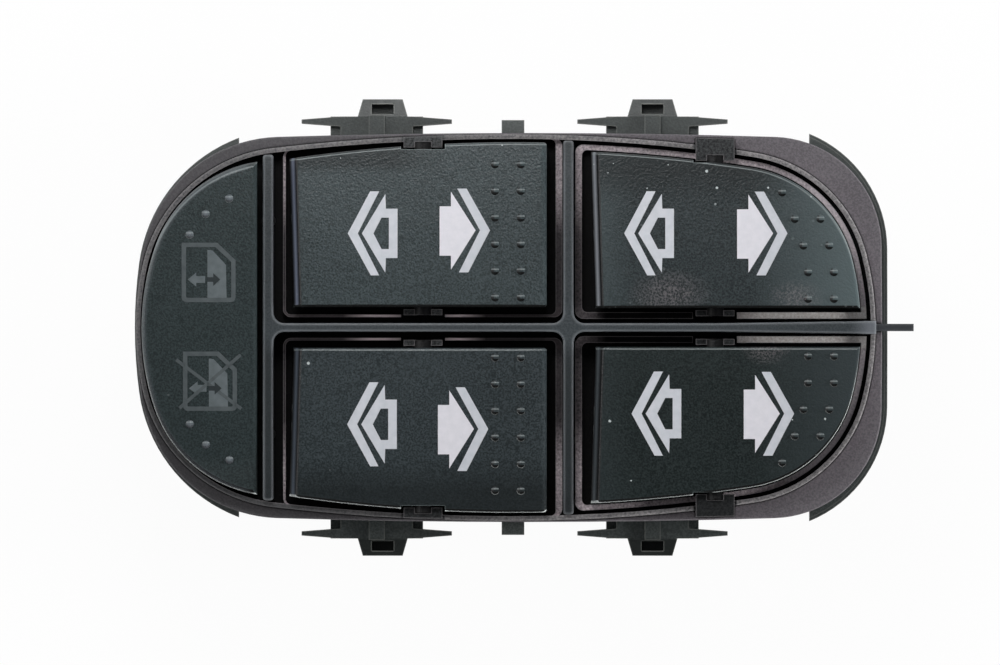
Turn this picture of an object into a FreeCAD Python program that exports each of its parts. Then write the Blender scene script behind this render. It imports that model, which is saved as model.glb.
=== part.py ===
"""Driver-side power window switch: four window rockers and a crescent lockout rocker.

The part stands on the rim of its connector shroud. The origin is the middle of the
socket mouth, +X points to the blade at the rounded nose of the panel, +Y across the
panel and +Z up through the rockers. Lengths are millimetres, angles degrees.
"""

import FreeCAD, Part

import math
import os

import Sketcher

Vector = FreeCAD.Vector
X_AXIS = Vector(1, 0, 0)
Y_AXIS = Vector(0, 1, 0)
Z_AXIS = Vector(0, 0, 1)

doc = FreeCAD.newDocument("power_window_switch")

# Driving dimensions: alias, value, meaning.
DIMENSIONS = [
    # Stack of levels, from the socket mouth up
    ("shroud_height", 12.0, "depth of the connector shroud below the floor"),
    ("floor_thick", 2.0, "floor of the lower case"),
    ("board_gap", 2.0, "air between floor and circuit board"),
    ("board_thick", 1.6, "circuit board"),
    ("slide_clearance", 0.3, "play above, below and beside each slider"),
    ("slider_height", 3.6, "slider block"),
    ("plate_thick", 1.2, "guide plate inside the carrier"),
    ("throat_height", 5.0, "from the guide plate up to the flange underside"),
    ("flange_thick", 1.2, "carrier flange that rests on the door panel"),
    ("deck_thick", 1.0, "floor of the bezel under the rockers"),
    ("band_height", 1.8, "outer band of the bezel above the flange"),
    ("rim_height", 3.6, "raised rim of the bezel above the flange"),
    ("collar_height", 2.4, "ledge round each rocker above the flange"),
    ("rib_height", 6.6, "divider ribs above the flange, at the middle"),
    ("pivot_height", 4.4, "hinge axes above the flange top"),
    ("skirt_height", 3.5, "lower edge of the rocker skirts above the flange"),
    # Flange outline
    ("flange_left", 56.8, "left end of the flange"),
    ("flange_right", 56.25, "right end of the flange"),
    ("flange_half_width", 29.2, "half width at the widest place"),
    ("flange_peak", 2.0, "station of the widest place"),
    # Bezel outline, inside the flange at both ends
    ("bezel_short_left", 0.2, "bezel short of the flange at the left end"),
    ("bezel_short", 0.85, "bezel short of the flange at the right end"),
    ("bezel_left_end_radius", 67.5, "bow of the left end"),
    ("bezel_left_end_flat", 7.9, "half of the left end between its corners"),
    ("bezel_left_side_radius", 1200.0, "bow of the sides, left half"),
    ("bezel_right_end_radius", 1000.0, "bow of the right end"),
    ("bezel_right_end_flat", 12.7, "half of the right end between its corners"),
    ("bezel_right_side_radius", 1200.0, "bow of the sides, right half"),
    # Well outline: inner edge of the raised rim
    ("band_left", 0.7, "band outside the well at the left end"),
    ("band_right", 1.7, "band outside the well at the right end"),
    ("band_side", 0.9, "band outside the well at the long sides"),
    ("well_left_end_radius", 42.5, "bow of the left end"),
    ("well_left_end_flat", 6.3, "half of the left end between its corners"),
    ("well_left_side_radius", 315.0, "bow of the sides, left half"),
    ("well_right_end_radius", 44.0, "bow of the right end"),
    ("well_right_end_flat", 8.3, "half of the right end between its corners"),
    ("well_right_side_radius", 240.0, "bow of the sides, right half"),
    ("rim_wall", 0.7, "thickness of the raised rim"),
    # Carrier
    ("bezel_margin", 0.3, "carrier flange edge inside the bezel edge"),
    ("lip_left_end_radius", 72.5, "bow of the left lip"),
    ("lip_left_end_flat", 7.7, "half of the left lip between its corners"),
    ("lip_left_side_radius", 575.0, "bow of the left lip beyond those corners"),
    ("lip_right_end_radius", 3000.0, "bow of the right lips"),
    ("lip_right_end_flat", 12.4, "half of the right lips between their corners"),
    ("lip_right_side_radius", 1000.0, "bow of the right lips beyond those corners"),
    ("lip_rise", 1.9, "line of the lips outside the sides of the flange"),
    ("lip_step", 0.4, "step along the edge of the right lips"),
    ("lip_start_right", 44.5, "station where the right lips begin"),
    ("lip_start_left", 41.15, "station where the left lip ends"),
    ("wall_inset", 1.7, "carrier wall inside the bezel edge"),
    ("wall_thick", 1.6, "walls of both cases"),
    ("case_overlap", 3.4, "lower case lip inside the carrier skirt"),
    ("case_clearance", 0.1, "fit between the two cases"),
    ("lip_wall", 1.2, "upstanding lip of the lower case"),
    ("tab_width", 3.4, "locating tabs at the middle of the sides"),
    ("tab_reach", 1.95, "locating tabs beyond the sides of the flange"),
    # Clips
    ("clip_left_x", 20.5, "middle of the left clips, left of the origin"),
    ("clip_right_x", 21.0, "middle of the right clips"),
    ("clip_tongue_shift", 0.9, "left tongues nearer the middle than their blocks"),
    ("clip_block_length", 13.9, "clip block along the side"),
    ("clip_block_reach", 2.55, "clip block beyond the sides of the flange"),
    ("clip_height", 6.0, "clip block height"),
    ("clip_drop", 2.4, "clip top below the flange underside"),
    ("wing_span", 22.6, "tip to tip of the spring wings"),
    ("wing_thick", 0.6, "spring wing at its tip"),
    ("wing_root_thick", 1.5, "spring wing at its root"),
    ("tongue_reach", 5.15, "nose of the clip tongue beyond the sides of the flange"),
    ("tongue_tip", 6.0, "tongue width at the nose"),
    ("tongue_base", 7.5, "tongue width at the block"),
    ("tongue_pocket", 3.3, "pocket in the tongue"),
    ("pocket_depth", 2.0, "depth of that pocket"),
    ("tongue_foot", 0.5, "thick root of the tongue"),
    ("clip_step", 0.75, "steps of the clip block"),
    ("clip_rib", 2.4, "rib on the clip block"),
    # Connector shroud and header
    ("socket_end", 2.4, "socket longer than the header at each end"),
    ("socket_side", 2.9, "socket wider than the header on each side"),
    ("shroud_wall", 1.6, "shroud wall"),
    ("shroud_radius", 2.0, "outer corners of the shroud"),
    ("key_width", 3.0, "coding ribs inside the socket"),
    ("key_depth", 1.0, "coding ribs stand in from the wall"),
    ("header_length", 38.0, "pin header body"),
    ("header_width", 7.0, "pin header body"),
    ("header_fit", 0.15, "header body in the floor opening"),
    ("pin_end", 2.8, "header beyond its last pins at each end"),
    ("pin_row_gap", 3.6, "between the two rows"),
    ("pin_size", 0.8, "square pins"),
    ("pin_free_length", 6.6, "pins below the floor"),
    ("pin_columns", 7, "pins in each row"),
    # Snap hooks that join the two cases
    ("hook_length", 6.0, "snap hook along the wall"),
    ("hook_height", 2.0, "snap hook"),
    ("hook_reach", 1.1, "snap hook out of the lip"),
    ("hook_play", 0.3, "window larger than the hook all round"),
    ("hook_station", 36.0, "hooks from the middle"),
    ("hook_rise", 0.8, "hooks above the joint of the cases"),
    ("rest_x", 34.0, "board rests from the middle"),
    ("rest_y", 18.0, "board rests from the middle"),
    ("board_edge_play", 0.3, "board inside the lip"),
    ("pin_hole_play", 0.1, "pin holes in the board"),
    ("boss_radius", 2.2, "board rests"),
    # Window rockers
    ("pivot_left_x", 13.5, "hinge axis of the left rockers, left of the origin"),
    ("pivot_right_x", 30.3, "hinge axis of the right rockers"),
    ("left_rocker_gap", 1.25, "left rockers from their collar at the left, at the inner edge"),
    ("left_rocker_gap_right", 1.35, "left rockers from their collar at the right"),
    ("left_rocker_y0", 3.05, "inner edge of the left rockers"),
    ("left_rocker_side_radius", 230.0, "bow of the outer edge of the left rockers"),
    ("left_rocker_inset", 0.55, "left rockers inside the well outline"),
    ("right_rocker_gap", 2.05, "right rockers from their collar, at the inner edge"),
    ("right_rocker_y0", 2.9, "inner edge of the right rockers"),
    ("right_rocker_inset", 1.65, "right rockers inside the well outline"),
    ("rocker_lean", 1.7, "lean of the left ends, in degrees"),
    ("crown_radius", 230.0, "bow of the rocker faces across the panel"),
    ("face_low", 8.0, "rocker face above the flange at the bevel end"),
    ("face_middle", 7.7, "rocker face above the flange at the hinge"),
    ("face_high", 8.6, "rocker face above the flange at the raised end"),
    ("bevel_run", 1.1, "bevel at the left end of each rocker"),
    ("bevel_drop", 1.7, "height of that bevel"),
    ("edge_round", 0.45, "rounding of the rocker edges"),
    ("nose_round", 0.9, "rounding of the raised ends of the left rockers"),
    ("cap_wall", 1.3, "wall of the rocker caps"),
    ("ceiling_height", 4.9, "underside of the caps above the flange"),
    ("trunnion_radius", 1.3, "hinge stubs"),
    ("trunnion_clearance", 0.05, "bearing wider than the stub, each side"),
    ("lug_radius", 2.3, "boss that carries a stub inside the cap"),
    ("fork_half", 2.9, "half length of a bearing fork"),
    ("fork_depth", 0.85, "thickness of the outer fork legs"),
    ("bracket_margin", 0.5, "back of the outer forks inside the bezel edge"),
    ("fork_rise", 0.6, "fork arms above the hinge axis"),
    ("fork_gap", 0.3, "between a fork and its rocker"),
    ("notch_half", 3.3, "half length of the notch in the cap at a fork"),
    ("left_notch_depth", 1.6, "notch inside the side of the well, left rockers"),
    ("right_notch_depth", 3.6, "notch inside the side of the well, right rockers"),
    ("inner_fork_thick", 0.9, "thickness of the inner forks"),
    ("lever_tip_radius", 1.1, "rounded end of each lever"),
    ("lever_root", 4.4, "lever under the cap"),
    ("lever_neck", 1.5, "lever above its tip"),
    ("lever_width", 5.0, "lever across"),
    ("left_post_inset", 4.4, "left spring posts inside the carrier wall"),
    ("right_post_inset", 5.9, "right spring posts inside the carrier wall"),
    ("tip_clearance", 0.12, "lever tip in the slider slot, each side"),
    ("rocker_swing", 6.0, "travel of a window rocker each way"),
    # Grip studs
    ("stud_radius", 0.62, "grip studs at the surface"),
    ("stud_rise", 0.32, "grip studs above the surface"),
    ("stud_pitch", 3.98, "grip studs along a row"),
    ("stud_row_gap", 3.87, "between two rows"),
    ("stud_edge", 1.0, "grip studs from the edge of a cap, at least"),
    ("left_stud_rows", 7, "rows of two grip studs on a left rocker"),
    ("left_stud_x", 2.67, "first row on the left rockers, left of the origin"),
    ("left_stud_y", 4.5, "first stud of each row on the left rockers"),
    ("right_stud_x", 44.2, "first row on the right rockers"),
    ("right_stud_y", 4.3, "first stud of each row on the right rockers"),
    # Collars
    ("left_collar_gap", 1.4, "left collars from the left divider"),
    ("left_collar_gap_right", 0.1, "left collars from the right divider"),
    ("left_collar_y0", 1.95, "inner edge of the left collars"),
    ("right_collar_gap", 0.25, "right collars from the right divider"),
    ("right_collar_y0", 2.3, "inner edge of the right collars"),
    ("right_collar_inset", 1.4, "inner edge of the curved collar inside the well"),
    ("right_collar_groove", 0.6, "groove between the rim and the curved collar"),
    ("collar_round", 0.8, "inner corners of the collars"),
    ("collar_thin", 0.4, "narrow collar sides"),
    ("collar_wide", 1.0, "wide collar sides"),
    # Divider frame
    ("divider_one_x", 36.7, "left divider, left of the origin"),
    ("divider_two_x", 8.3, "right divider"),
    ("divider_thick", 1.6, "both dividers"),
    ("divider_gap", 0.1, "dividers short of the rim"),
    ("divider_corner", 0.45, "corners at the ends of the dividers"),
    ("rib_thick", 1.3, "rib between the rockers"),
    ("rib_nose", 2.0, "the same rib at its right end"),
    ("rib_flare", 30.0, "station where the rib starts to widen"),
    ("blade_tip", 60.1, "tip of the blade"),
    ("blade_thick", 1.1, "blade"),
    ("blade_height", 1.5, "blade above the band"),
    ("root_round", 1.6, "rounding where rib and dividers meet"),
    ("rib_round", 0.2, "rounding along the top of the frame"),
    ("peg_radius", 1.0, "pegs of the frame in the deck"),
    ("peg_length", 1.5, "pegs below the deck"),
    ("peg_one_y", 16.0, "pegs on the left divider"),
    ("peg_two_y", 17.0, "pegs on the right divider"),
    ("seat_play", 0.05, "fit of the frame in the bezel"),
    ("band_round", 0.25, "outer edge of the band"),
    ("rim_round", 0.3, "edges of the rim"),
    ("leg_station", 30.0, "locating legs under the deck"),
    ("leg_length", 8.0, "locating legs"),
    ("leg_thick", 1.3, "locating legs"),
    ("leg_drop", 3.5, "locating legs below the deck"),
    # Lockout rocker
    ("lockout_gap", 0.85, "lockout rocker from the left divider"),
    ("lockout_inset", 0.25, "lockout rocker inside the left end of the well"),
    ("lockout_side_inset", 0.93, "its curve inside the sides of the well"),
    ("lockout_end_radius", 38.0, "bow of its left end"),
    ("lockout_end_flat", 8.07, "half of its left end between its corners"),
    ("lockout_side_radius", 303.0, "bow of its curve beyond the corners"),
    ("lockout_round", 0.7, "rounding of its edges"),
    ("lockout_edge", 7.3, "its face above the flange at the curved edge"),
    ("lockout_face", 7.9, "its face above the flange at the straight edge"),
    ("lockout_drop", 1.0, "its hinge axis below those of the other rockers"),
    ("lockout_tilt", 4.0, "lockout rocker off level in either position"),
    ("saddle_x", 46.5, "middle of the lockout hinge saddle"),
    ("saddle_half", 4.6, "half distance between the saddle plates"),
    ("saddle_plate", 1.6, "saddle plates"),
    ("saddle_half_width", 3.0, "half width of the saddle plates"),
    # Sliders, contacts and springs
    ("slider_length", 10.0, "slider along its travel"),
    ("slider_width", 8.0, "slider across"),
    ("slot_width", 5.6, "slot for the lever, across"),
    ("rail_thick", 1.2, "guide rails beside each slider"),
    ("rail_length", 17.0, "guide rails"),
    ("bridge_length", 7.0, "contact bridge"),
    ("bridge_width", 2.6, "contact bridge"),
    ("bridge_thick", 0.2, "contact bridge strip"),
    ("bridge_lift", 0.05, "bridge ends off the board"),
    ("detent_crest", 0.8, "crest of the detent spring"),
    ("spring_strip", 0.3, "spring strip"),
    ("spring_height", 2.0, "width of the spring strip"),
    ("spring_reach", 7.0, "spring post from the middle of the lever"),
    ("spring_tail", 2.0, "spring arms past the middle of the lever"),
    ("spring_play", 0.2, "spring arms off the lever at rest"),
    ("post_radius", 1.3, "posts that hold the springs"),
    ("lamp_length", 3.2, "lamps on the board"),
    ("lamp_width", 2.0, "lamps on the board"),
    ("lamp_height", 1.3, "lamps on the board"),
    ("lamp_offset", 7.6, "lamps from the lever"),
]

sizes = doc.addObject("Spreadsheet::Sheet", "sizes")
for row, (alias, value, meaning) in enumerate(DIMENSIONS, start=1):
    sizes.set(f"A{row}", alias)
    sizes.set(f"B{row}", str(value))
    sizes.set(f"C{row}", meaning)
    sizes.setAlias(f"B{row}", alias)
doc.recompute()


def size(alias):
    """Read one driving dimension."""
    return float(getattr(sizes, alias))


# Levels, each from the one below it
FLOOR = size("shroud_height")
FLOOR_TOP = FLOOR + size("floor_thick")
BOARD = FLOOR_TOP + size("board_gap")
BOARD_TOP = BOARD + size("board_thick")
SLIDER = BOARD_TOP + size("slide_clearance")
SLIDER_TOP = SLIDER + size("slider_height")
PLATE = SLIDER_TOP + size("slide_clearance")
PLATE_TOP = PLATE + size("plate_thick")
FLANGE = PLATE_TOP + size("throat_height")
SEAT = FLANGE + size("flange_thick")
DECK_TOP = SEAT + size("deck_thick")
BAND_TOP = SEAT + size("band_height")
RIM_TOP = SEAT + size("rim_height")
COLLAR_TOP = SEAT + size("collar_height")
RIB_TOP = SEAT + size("rib_height")
PIVOT = SEAT + size("pivot_height")
SKIRT = SEAT + size("skirt_height")
CEILING = SEAT + size("ceiling_height")
FORK_TOP = PIVOT + size("fork_rise")
LEVER_TIP = SLIDER + size("slider_height") / 2
SPLIT = BOARD_TOP + size("slide_clearance")
LOCKOUT_PIVOT = PIVOT - size("lockout_drop")

# Sizes in plan that follow from others
SIDE = size("flange_half_width")
WALL_INSIDE = size("wall_inset") + size("wall_thick")
LIP_OUTSIDE = WALL_INSIDE + size("case_clearance")
WELL_SIDE = SIDE - size("band_side")
BEZEL_LEFT = size("flange_left") - size("bezel_short_left")
BEZEL_RIGHT = size("flange_right") - size("bezel_short")
WELL_LEFT = BEZEL_LEFT - size("band_left")
WELL_RIGHT = BEZEL_RIGHT - size("band_right")
RIB_END = WELL_RIGHT + size("rim_wall")
DIVIDER_ONE = -size("divider_one_x")
DIVIDER_TWO = size("divider_two_x")
DIVIDER_HALF = size("divider_thick") / 2
LOCKOUT_EDGE = DIVIDER_ONE - DIVIDER_HALF - size("lockout_gap")
LEFT_COLLAR = [
    DIVIDER_ONE + DIVIDER_HALF + size("left_collar_gap") + size("collar_thin"),
    DIVIDER_TWO - DIVIDER_HALF - size("left_collar_gap_right") - size("collar_wide"),
]
RIGHT_COLLAR = DIVIDER_TWO + DIVIDER_HALF + size("right_collar_gap") + size("collar_wide")
CLIP_FACE = SIDE + size("clip_block_reach")
CLIP_NOSE = SIDE + size("tongue_reach")
SHROUD_X = size("header_length") / 2 + size("socket_end") + size("shroud_wall")
SHROUD_Y = size("header_width") / 2 + size("socket_side") + size("shroud_wall")
PIN_GAPS = int(size("pin_columns")) - 1
PIN_PITCH = (size("header_length") - 2 * size("pin_end")) / PIN_GAPS

# Small overlaps that join touching solids, and the margin of a cut that runs out of a solid
CAP_BITE = 0.4
RIM_BITE = 0.2
STUB_SHY = 0.1
BEYOND = 1.0
TOLERANCE = 0.01


# Helpers for profiles and solids

def block(x0, x1, y0, y1, z0, z1):
    """Box between two corners."""
    return Part.makeBox(x1 - x0, y1 - y0, z1 - z0, Vector(x0, y0, z0))


def rectangle(x0, x1, y0, y1, level):
    """Flat rectangular face at a level."""
    corners = [(x0, y0), (x1, y0), (x1, y1), (x0, y1), (x0, y0)]
    return Part.Face(Part.makePolygon([Vector(x, y, level) for x, y in corners]))


def prism(face, height):
    """Face pulled straight up."""
    return face.extrude(Vector(0, 0, height))


def panel_profile(points, z0, z1):
    """Polygon in plan, pulled up between two levels."""
    loop = [Vector(x, y, z0) for x, y in points + points[:1]]
    return Part.Face(Part.makePolygon(loop)).extrude(Vector(0, 0, z1 - z0))


def fuse(shapes):
    """One solid from touching shapes."""
    return shapes[0].multiFuse(shapes[1:]).removeSplitter()


def mirrored(shape):
    """The same shape on the other side of the long centre line."""
    return shape.mirror(Vector(0, 0, 0), Y_AXIS)


def oval(line, inset, level):
    """Closed face of tangent arcs with a bowed left end, right end and sides.

    Each quarter has an end arc, a corner arc and a side arc. The corner arc
    touches the other two from inside, so an inset only shortens the radii.
    """
    def quarter(end, end_radius, corner_radius, side_radius, sign):
        end_centre = Vector(end - sign * end_radius, 0, level)
        side_centre = Vector(line["peak"], line["half_width"] - side_radius, level)
        reach_end = end_radius - corner_radius
        reach_side = side_radius - corner_radius
        span = side_centre - end_centre
        along = (span.Length ** 2 + reach_end ** 2 - reach_side ** 2) / (2 * span.Length)
        across = math.sqrt(reach_end ** 2 - along ** 2)
        ahead = Vector(span).normalize()
        aside = Vector(-ahead.y, ahead.x, 0) * sign
        corner_centre = end_centre + ahead * along + aside * across
        leave_end = corner_centre - end_centre
        leave_side = corner_centre - side_centre
        return {
            "end": (end_centre, end_radius, math.atan2(leave_end.y, leave_end.x)),
            "corner": (corner_centre, corner_radius),
            "side": (side_centre, side_radius, math.atan2(leave_side.y, leave_side.x)),
        }

    def arc(centre, radius, start, stop):
        circle = Part.Circle(centre, Z_AXIS, radius - inset)
        return Part.ArcOfCircle(circle, start, stop).toShape()

    def below(edge):
        return edge.mirror(Vector(0, 0, 0), Y_AXIS)

    right = quarter(line["right"], *line["right_radii"], 1)
    left = quarter(-line["left"], *line["left_radii"], -1)
    right_turn, right_rise = right["end"][2], right["side"][2]
    left_turn, left_rise = left["end"][2], left["side"][2]
    upper = [
        arc(*right["corner"], right_turn, right_rise),
        arc(*right["side"][:2], right_rise, math.pi / 2),
        arc(*left["side"][:2], math.pi / 2, left_rise),
        arc(*left["corner"], left_rise, left_turn),
    ]
    edges = upper + [below(edge) for edge in upper]
    edges.append(arc(*right["end"][:2], -right_turn, right_turn))
    edges.append(arc(*left["end"][:2], left_turn, 2 * math.pi - left_turn))
    return Part.Face(Part.Wire(Part.__sortEdges__(edges)))


def radii(name, half_width):
    """End, corner and side radius of one quarter."""
    return [size(f"{name}_end_radius"), half_width - size(f"{name}_end_flat"),
            size(f"{name}_side_radius")]


def outline(left, right, half_width, peak, left_name, right_name):
    """Values of one closed outline."""
    return {
        "left": left,
        "right": right,
        "half_width": half_width,
        "peak": peak,
        "left_radii": radii(left_name, half_width),
        "right_radii": radii(right_name, half_width),
    }


BEZEL_LINE = outline(
    BEZEL_LEFT, BEZEL_RIGHT, SIDE, size("flange_peak"), "bezel_left", "bezel_right"
)
LIP_LINE = outline(
    size("flange_left"), size("flange_right"), SIDE + size("lip_rise"), size("flange_peak"),
    "lip_left", "lip_right",
)
WELL_LINE = outline(WELL_LEFT, WELL_RIGHT, WELL_SIDE, 0.0, "well_left", "well_right")
LEFT_CAP_LINE = dict(WELL_LINE, left_radii=[
    *WELL_LINE["left_radii"][:2], size("left_rocker_side_radius")
])
LOCKOUT_LINE = outline(
    WELL_LEFT - size("lockout_inset"), WELL_RIGHT, WELL_SIDE - size("lockout_side_inset"),
    0.0, "lockout", "well_right",
)


def ring(line, outer, inner, z0, z1):
    """Wall that follows an outline between two insets."""
    return prism(oval(line, outer, z0), z1 - z0).cut(prism(oval(line, inner, z0), z1 - z0))


def half_width_at(line, x):
    """Half width of an outline at a station."""
    across = Part.makeLine(Vector(x, 0, 0), Vector(x, 2 * SIDE, 0))
    return oval(line, 0, 0).common(across).BoundBox.YMax


# Cells of the four window rockers: the upper pair is modelled, the lower pair mirrored

CELLS = {
    "left": {
        "line": LEFT_CAP_LINE,
        "pivot_x": -size("pivot_left_x"),
        "x0": LEFT_COLLAR[0] + size("left_rocker_gap"),
        "x1": LEFT_COLLAR[1] - size("left_rocker_gap_right"),
        "y0": size("left_rocker_y0"),
        "inset": size("left_rocker_inset"),
        "notch_y": WELL_SIDE - size("left_notch_depth"),
        "lever_y": SIDE - WALL_INSIDE - size("left_post_inset") - size("spring_reach"),
        "collar": (*LEFT_COLLAR, size("left_collar_y0")),
        "collar_sides": (size("collar_thin"), size("collar_wide"), size("collar_thin")),
        "collar_insets": (-RIM_BITE, 0.0),
    },
    "right": {
        "line": WELL_LINE,
        "pivot_x": size("pivot_right_x"),
        "x0": RIGHT_COLLAR + size("right_rocker_gap"),
        "x1": WELL_RIGHT,
        "y0": size("right_rocker_y0"),
        "inset": size("right_rocker_inset"),
        "notch_y": WELL_SIDE - size("right_notch_depth"),
        "lever_y": SIDE - WALL_INSIDE - size("right_post_inset") - size("spring_reach"),
        "collar": (RIGHT_COLLAR, WELL_RIGHT, size("right_collar_y0")),
        "collar_sides": (size("collar_wide"), 0.0, size("collar_wide")),
        "collar_insets": (size("right_collar_groove"), size("right_collar_inset")),
    },
}


def cell_face(line, x0, x1, y0, inset, level):
    """Cell bounded by straight lines on three sides and by an outline."""
    bounds = rectangle(x0, x1, y0, SIDE, level)
    return oval(line, inset, level).common(bounds).Faces[0]


def notch(cell, shrink):
    """Space in the cap at its outer bearing fork."""
    half = size("notch_half") + shrink
    return block(
        cell["pivot_x"] - half,
        cell["pivot_x"] + half,
        cell["notch_y"] - shrink,
        SIDE,
        SEAT,
        PIVOT + size("face_high"),
    )


def crowned_blank(x0, x1, low, middle, high, bevel):
    """Rocker blank: a long profile swept along the bow across the panel."""
    run = size("bevel_run") if bevel else 0.0
    drop = size("bevel_drop") if bevel else 0.0
    start = Vector(x0 + run, 0, SEAT + low)
    middle_x = (start.x + x1) / 2
    edges = [Part.Arc(
        start, Vector(middle_x, 0, SEAT + middle), Vector(x1, 0, SEAT + high)
    ).toShape()]
    outline_points = [
        Vector(x1, 0, SEAT + high), Vector(x1, 0, SEAT), Vector(x0, 0, SEAT),
        Vector(x0, 0, SEAT + low - drop),
    ]
    if bevel:
        outline_points.append(start)
    for first, second in zip(outline_points, outline_points[1:]):
        edges.append(Part.makeLine(first, second))
    profile = Part.Face(Part.Wire(Part.__sortEdges__(edges)))
    centre = Vector(0, 0, SEAT + low - size("crown_radius"))
    spread = math.degrees(math.asin((SIDE + 2 * BEYOND) / size("crown_radius")))
    profile.rotate(centre, X_AXIS, -spread)
    return profile.revolve(centre, X_AXIS, 2 * spread)


def rounded_top(solid, radius, nose=None):
    """Round the edges between the face of a cap and its sides, a raised end more."""
    def upright(edge):
        box = edge.BoundBox
        return box.XLength < size("edge_round") and box.YLength < size("edge_round")

    def at_nose(edge):
        box = edge.BoundBox
        return nose is not None and abs(box.XMin - nose) < box.YLength and box.XLength < radius

    rim = [edge for edge in solid.Edges if edge.BoundBox.ZMin > PIVOT and not upright(edge)]
    if nose is not None:
        solid = solid.makeFillet(size("nose_round"), [edge for edge in rim if at_nose(edge)])
        rim = [edge for edge in solid.Edges
               if edge.BoundBox.ZMin > PIVOT and not upright(edge)
               and edge.BoundBox.XMax < nose - size("nose_round") / 2]
    return solid.makeFillet(radius, rim)


def stud(x, y, cap):
    """Low dome that stands on the face of a cap."""
    rise, half = size("stud_rise"), size("stud_radius")
    dome_radius = (half ** 2 + rise ** 2) / (2 * rise)
    probe = Part.makeLine(Vector(x, y, SEAT), Vector(x, y, SEAT + 2 * size("face_high")))
    surface = cap.common(probe).BoundBox.ZMax
    ball = Part.makeSphere(dome_radius, Vector(x, y, surface + rise - dome_radius))
    cube = block(x - 2 * half, x + 2 * half, y - 2 * half, y + 2 * half,
                 surface - rise / 2, surface + 2 * rise)
    return ball.common(cube)


def studs_on(spots, plan, cap):
    """Studs at those spots that lie well inside the plan of a cap."""
    level = plan.BoundBox.ZMin
    reach = size("stud_edge")
    corners = [(-reach, 0), (reach, 0), (0, -reach), (0, reach)]
    return [
        stud(x, y, cap) for x, y in spots
        if all(plan.isInside(Vector(x + dx, y + dy, level), TOLERANCE, True)
               for dx, dy in corners)
    ]


def lever(x, y):
    """Finger that hangs from a cap and ends in a round tip, across X."""
    root, neck, half = size("lever_root") / 2, size("lever_neck") / 2, size("lever_width") / 2
    top = CEILING + CAP_BITE
    points = [(-root, top), (root, top), (neck, LEVER_TIP), (-neck, LEVER_TIP)]
    loop = [Vector(x + dx, y - half, z) for dx, z in points + points[:1]]
    blade = Part.Face(Part.makePolygon(loop)).extrude(Vector(0, 2 * half, 0))
    tip = Part.makeCylinder(
        size("lever_tip_radius"), 2 * half, Vector(x, y - half, LEVER_TIP), Y_AXIS
    )
    return fuse([blade, tip])


# Steps to the left of the right rockers' stud rows, from the inner edge out
RIGHT_STUD_STEPS = [0.0, 0.0, 0.7, 2.0]

# Grip studs of the lockout rocker, from the middle of its saddle: an arc along the curved edge
LOCKOUT_STUDS = [(4.0, 19.6), (0.5, 17.3), (-1.9, 14.2)]


def stud_spots(side):
    """Grip studs of one rocker: straight rows, or rows that step in along the curve."""
    x, y = size(f"{side}_stud_x"), size(f"{side}_stud_y")
    pitch, gap = size("stud_pitch"), size("stud_row_gap")
    if side == "left":
        rows = int(size("left_stud_rows"))
        return [(-x + column * gap, y + row * pitch)
                for column in range(2) for row in range(rows)]
    spots = [(x - step + column * gap, y + row * pitch)
             for column in range(2) for row, step in enumerate(RIGHT_STUD_STEPS)]
    return spots + [(x - gap, y + len(RIGHT_STUD_STEPS) * pitch)]


def window_rocker(side):
    """Hollow cap with hinge stubs on both long sides and a lever below."""
    cell = CELLS[side]
    x, y = cell["pivot_x"], cell["lever_y"]
    x0, y0, wall = cell["x0"], cell["y0"], size("cap_wall")
    x1 = min(cell["x1"], WELL_RIGHT - cell["inset"])
    blank = crowned_blank(
        x0, x1 + BEYOND, size("face_low"), size("face_middle"), size("face_high"), True
    )
    blank.rotate(Vector(x0, y0, 0), Z_AXIS, size("rocker_lean"))
    lean = SIDE * math.tan(math.radians(size("rocker_lean")))
    plan = cell_face(cell["line"], x0 - lean, x1, y0, cell["inset"], SKIRT)
    solid = blank.common(prism(plan, size("face_high") + size("rim_height")))
    nose = x1 if side == "left" else None
    cap = rounded_top(solid, size("edge_round"), nose).cut(notch(cell, 0.0))
    inner_x1 = x1 - wall if side == "left" else x1
    inner = cell_face(cell["line"], x0 + wall, inner_x1, y0 + wall, cell["inset"] + wall, SKIRT)
    cap = cap.cut(prism(inner, CEILING - SKIRT).cut(notch(cell, wall)))
    outer = cell["notch_y"]
    radius, low = size("lug_radius"), SKIRT - size("lug_radius") / 2
    lugs = [
        Part.makeCylinder(radius, 2 * wall, Vector(x, start, PIVOT), Y_AXIS).common(
            block(x - radius, x + radius, start, start + 2 * wall, low, CEILING + CAP_BITE))
        for start in (y0, outer - 2 * wall)
    ]
    stub_start = y0 - size("fork_gap") - size("inner_fork_thick") + STUB_SHY
    stub_stop = outer + size("fork_gap") + size("fork_depth") - STUB_SHY
    stubs = [
        Part.makeCylinder(size("trunnion_radius"), stop - start, Vector(x, start, PIVOT), Y_AXIS)
        for start, stop in ((stub_start, y0 + wall), (outer - wall, stub_stop))
    ]
    return fuse([cap, lever(x, y)] + lugs + stubs + studs_on(stud_spots(side), plan, cap))


def lever_half(level):
    """Half thickness of a lever at a level."""
    top = CEILING + CAP_BITE
    share = (level - LEVER_TIP) / (top - LEVER_TIP)
    neck, root = size("lever_neck") / 2, size("lever_root") / 2
    return neck + share * (root - neck)


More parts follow.
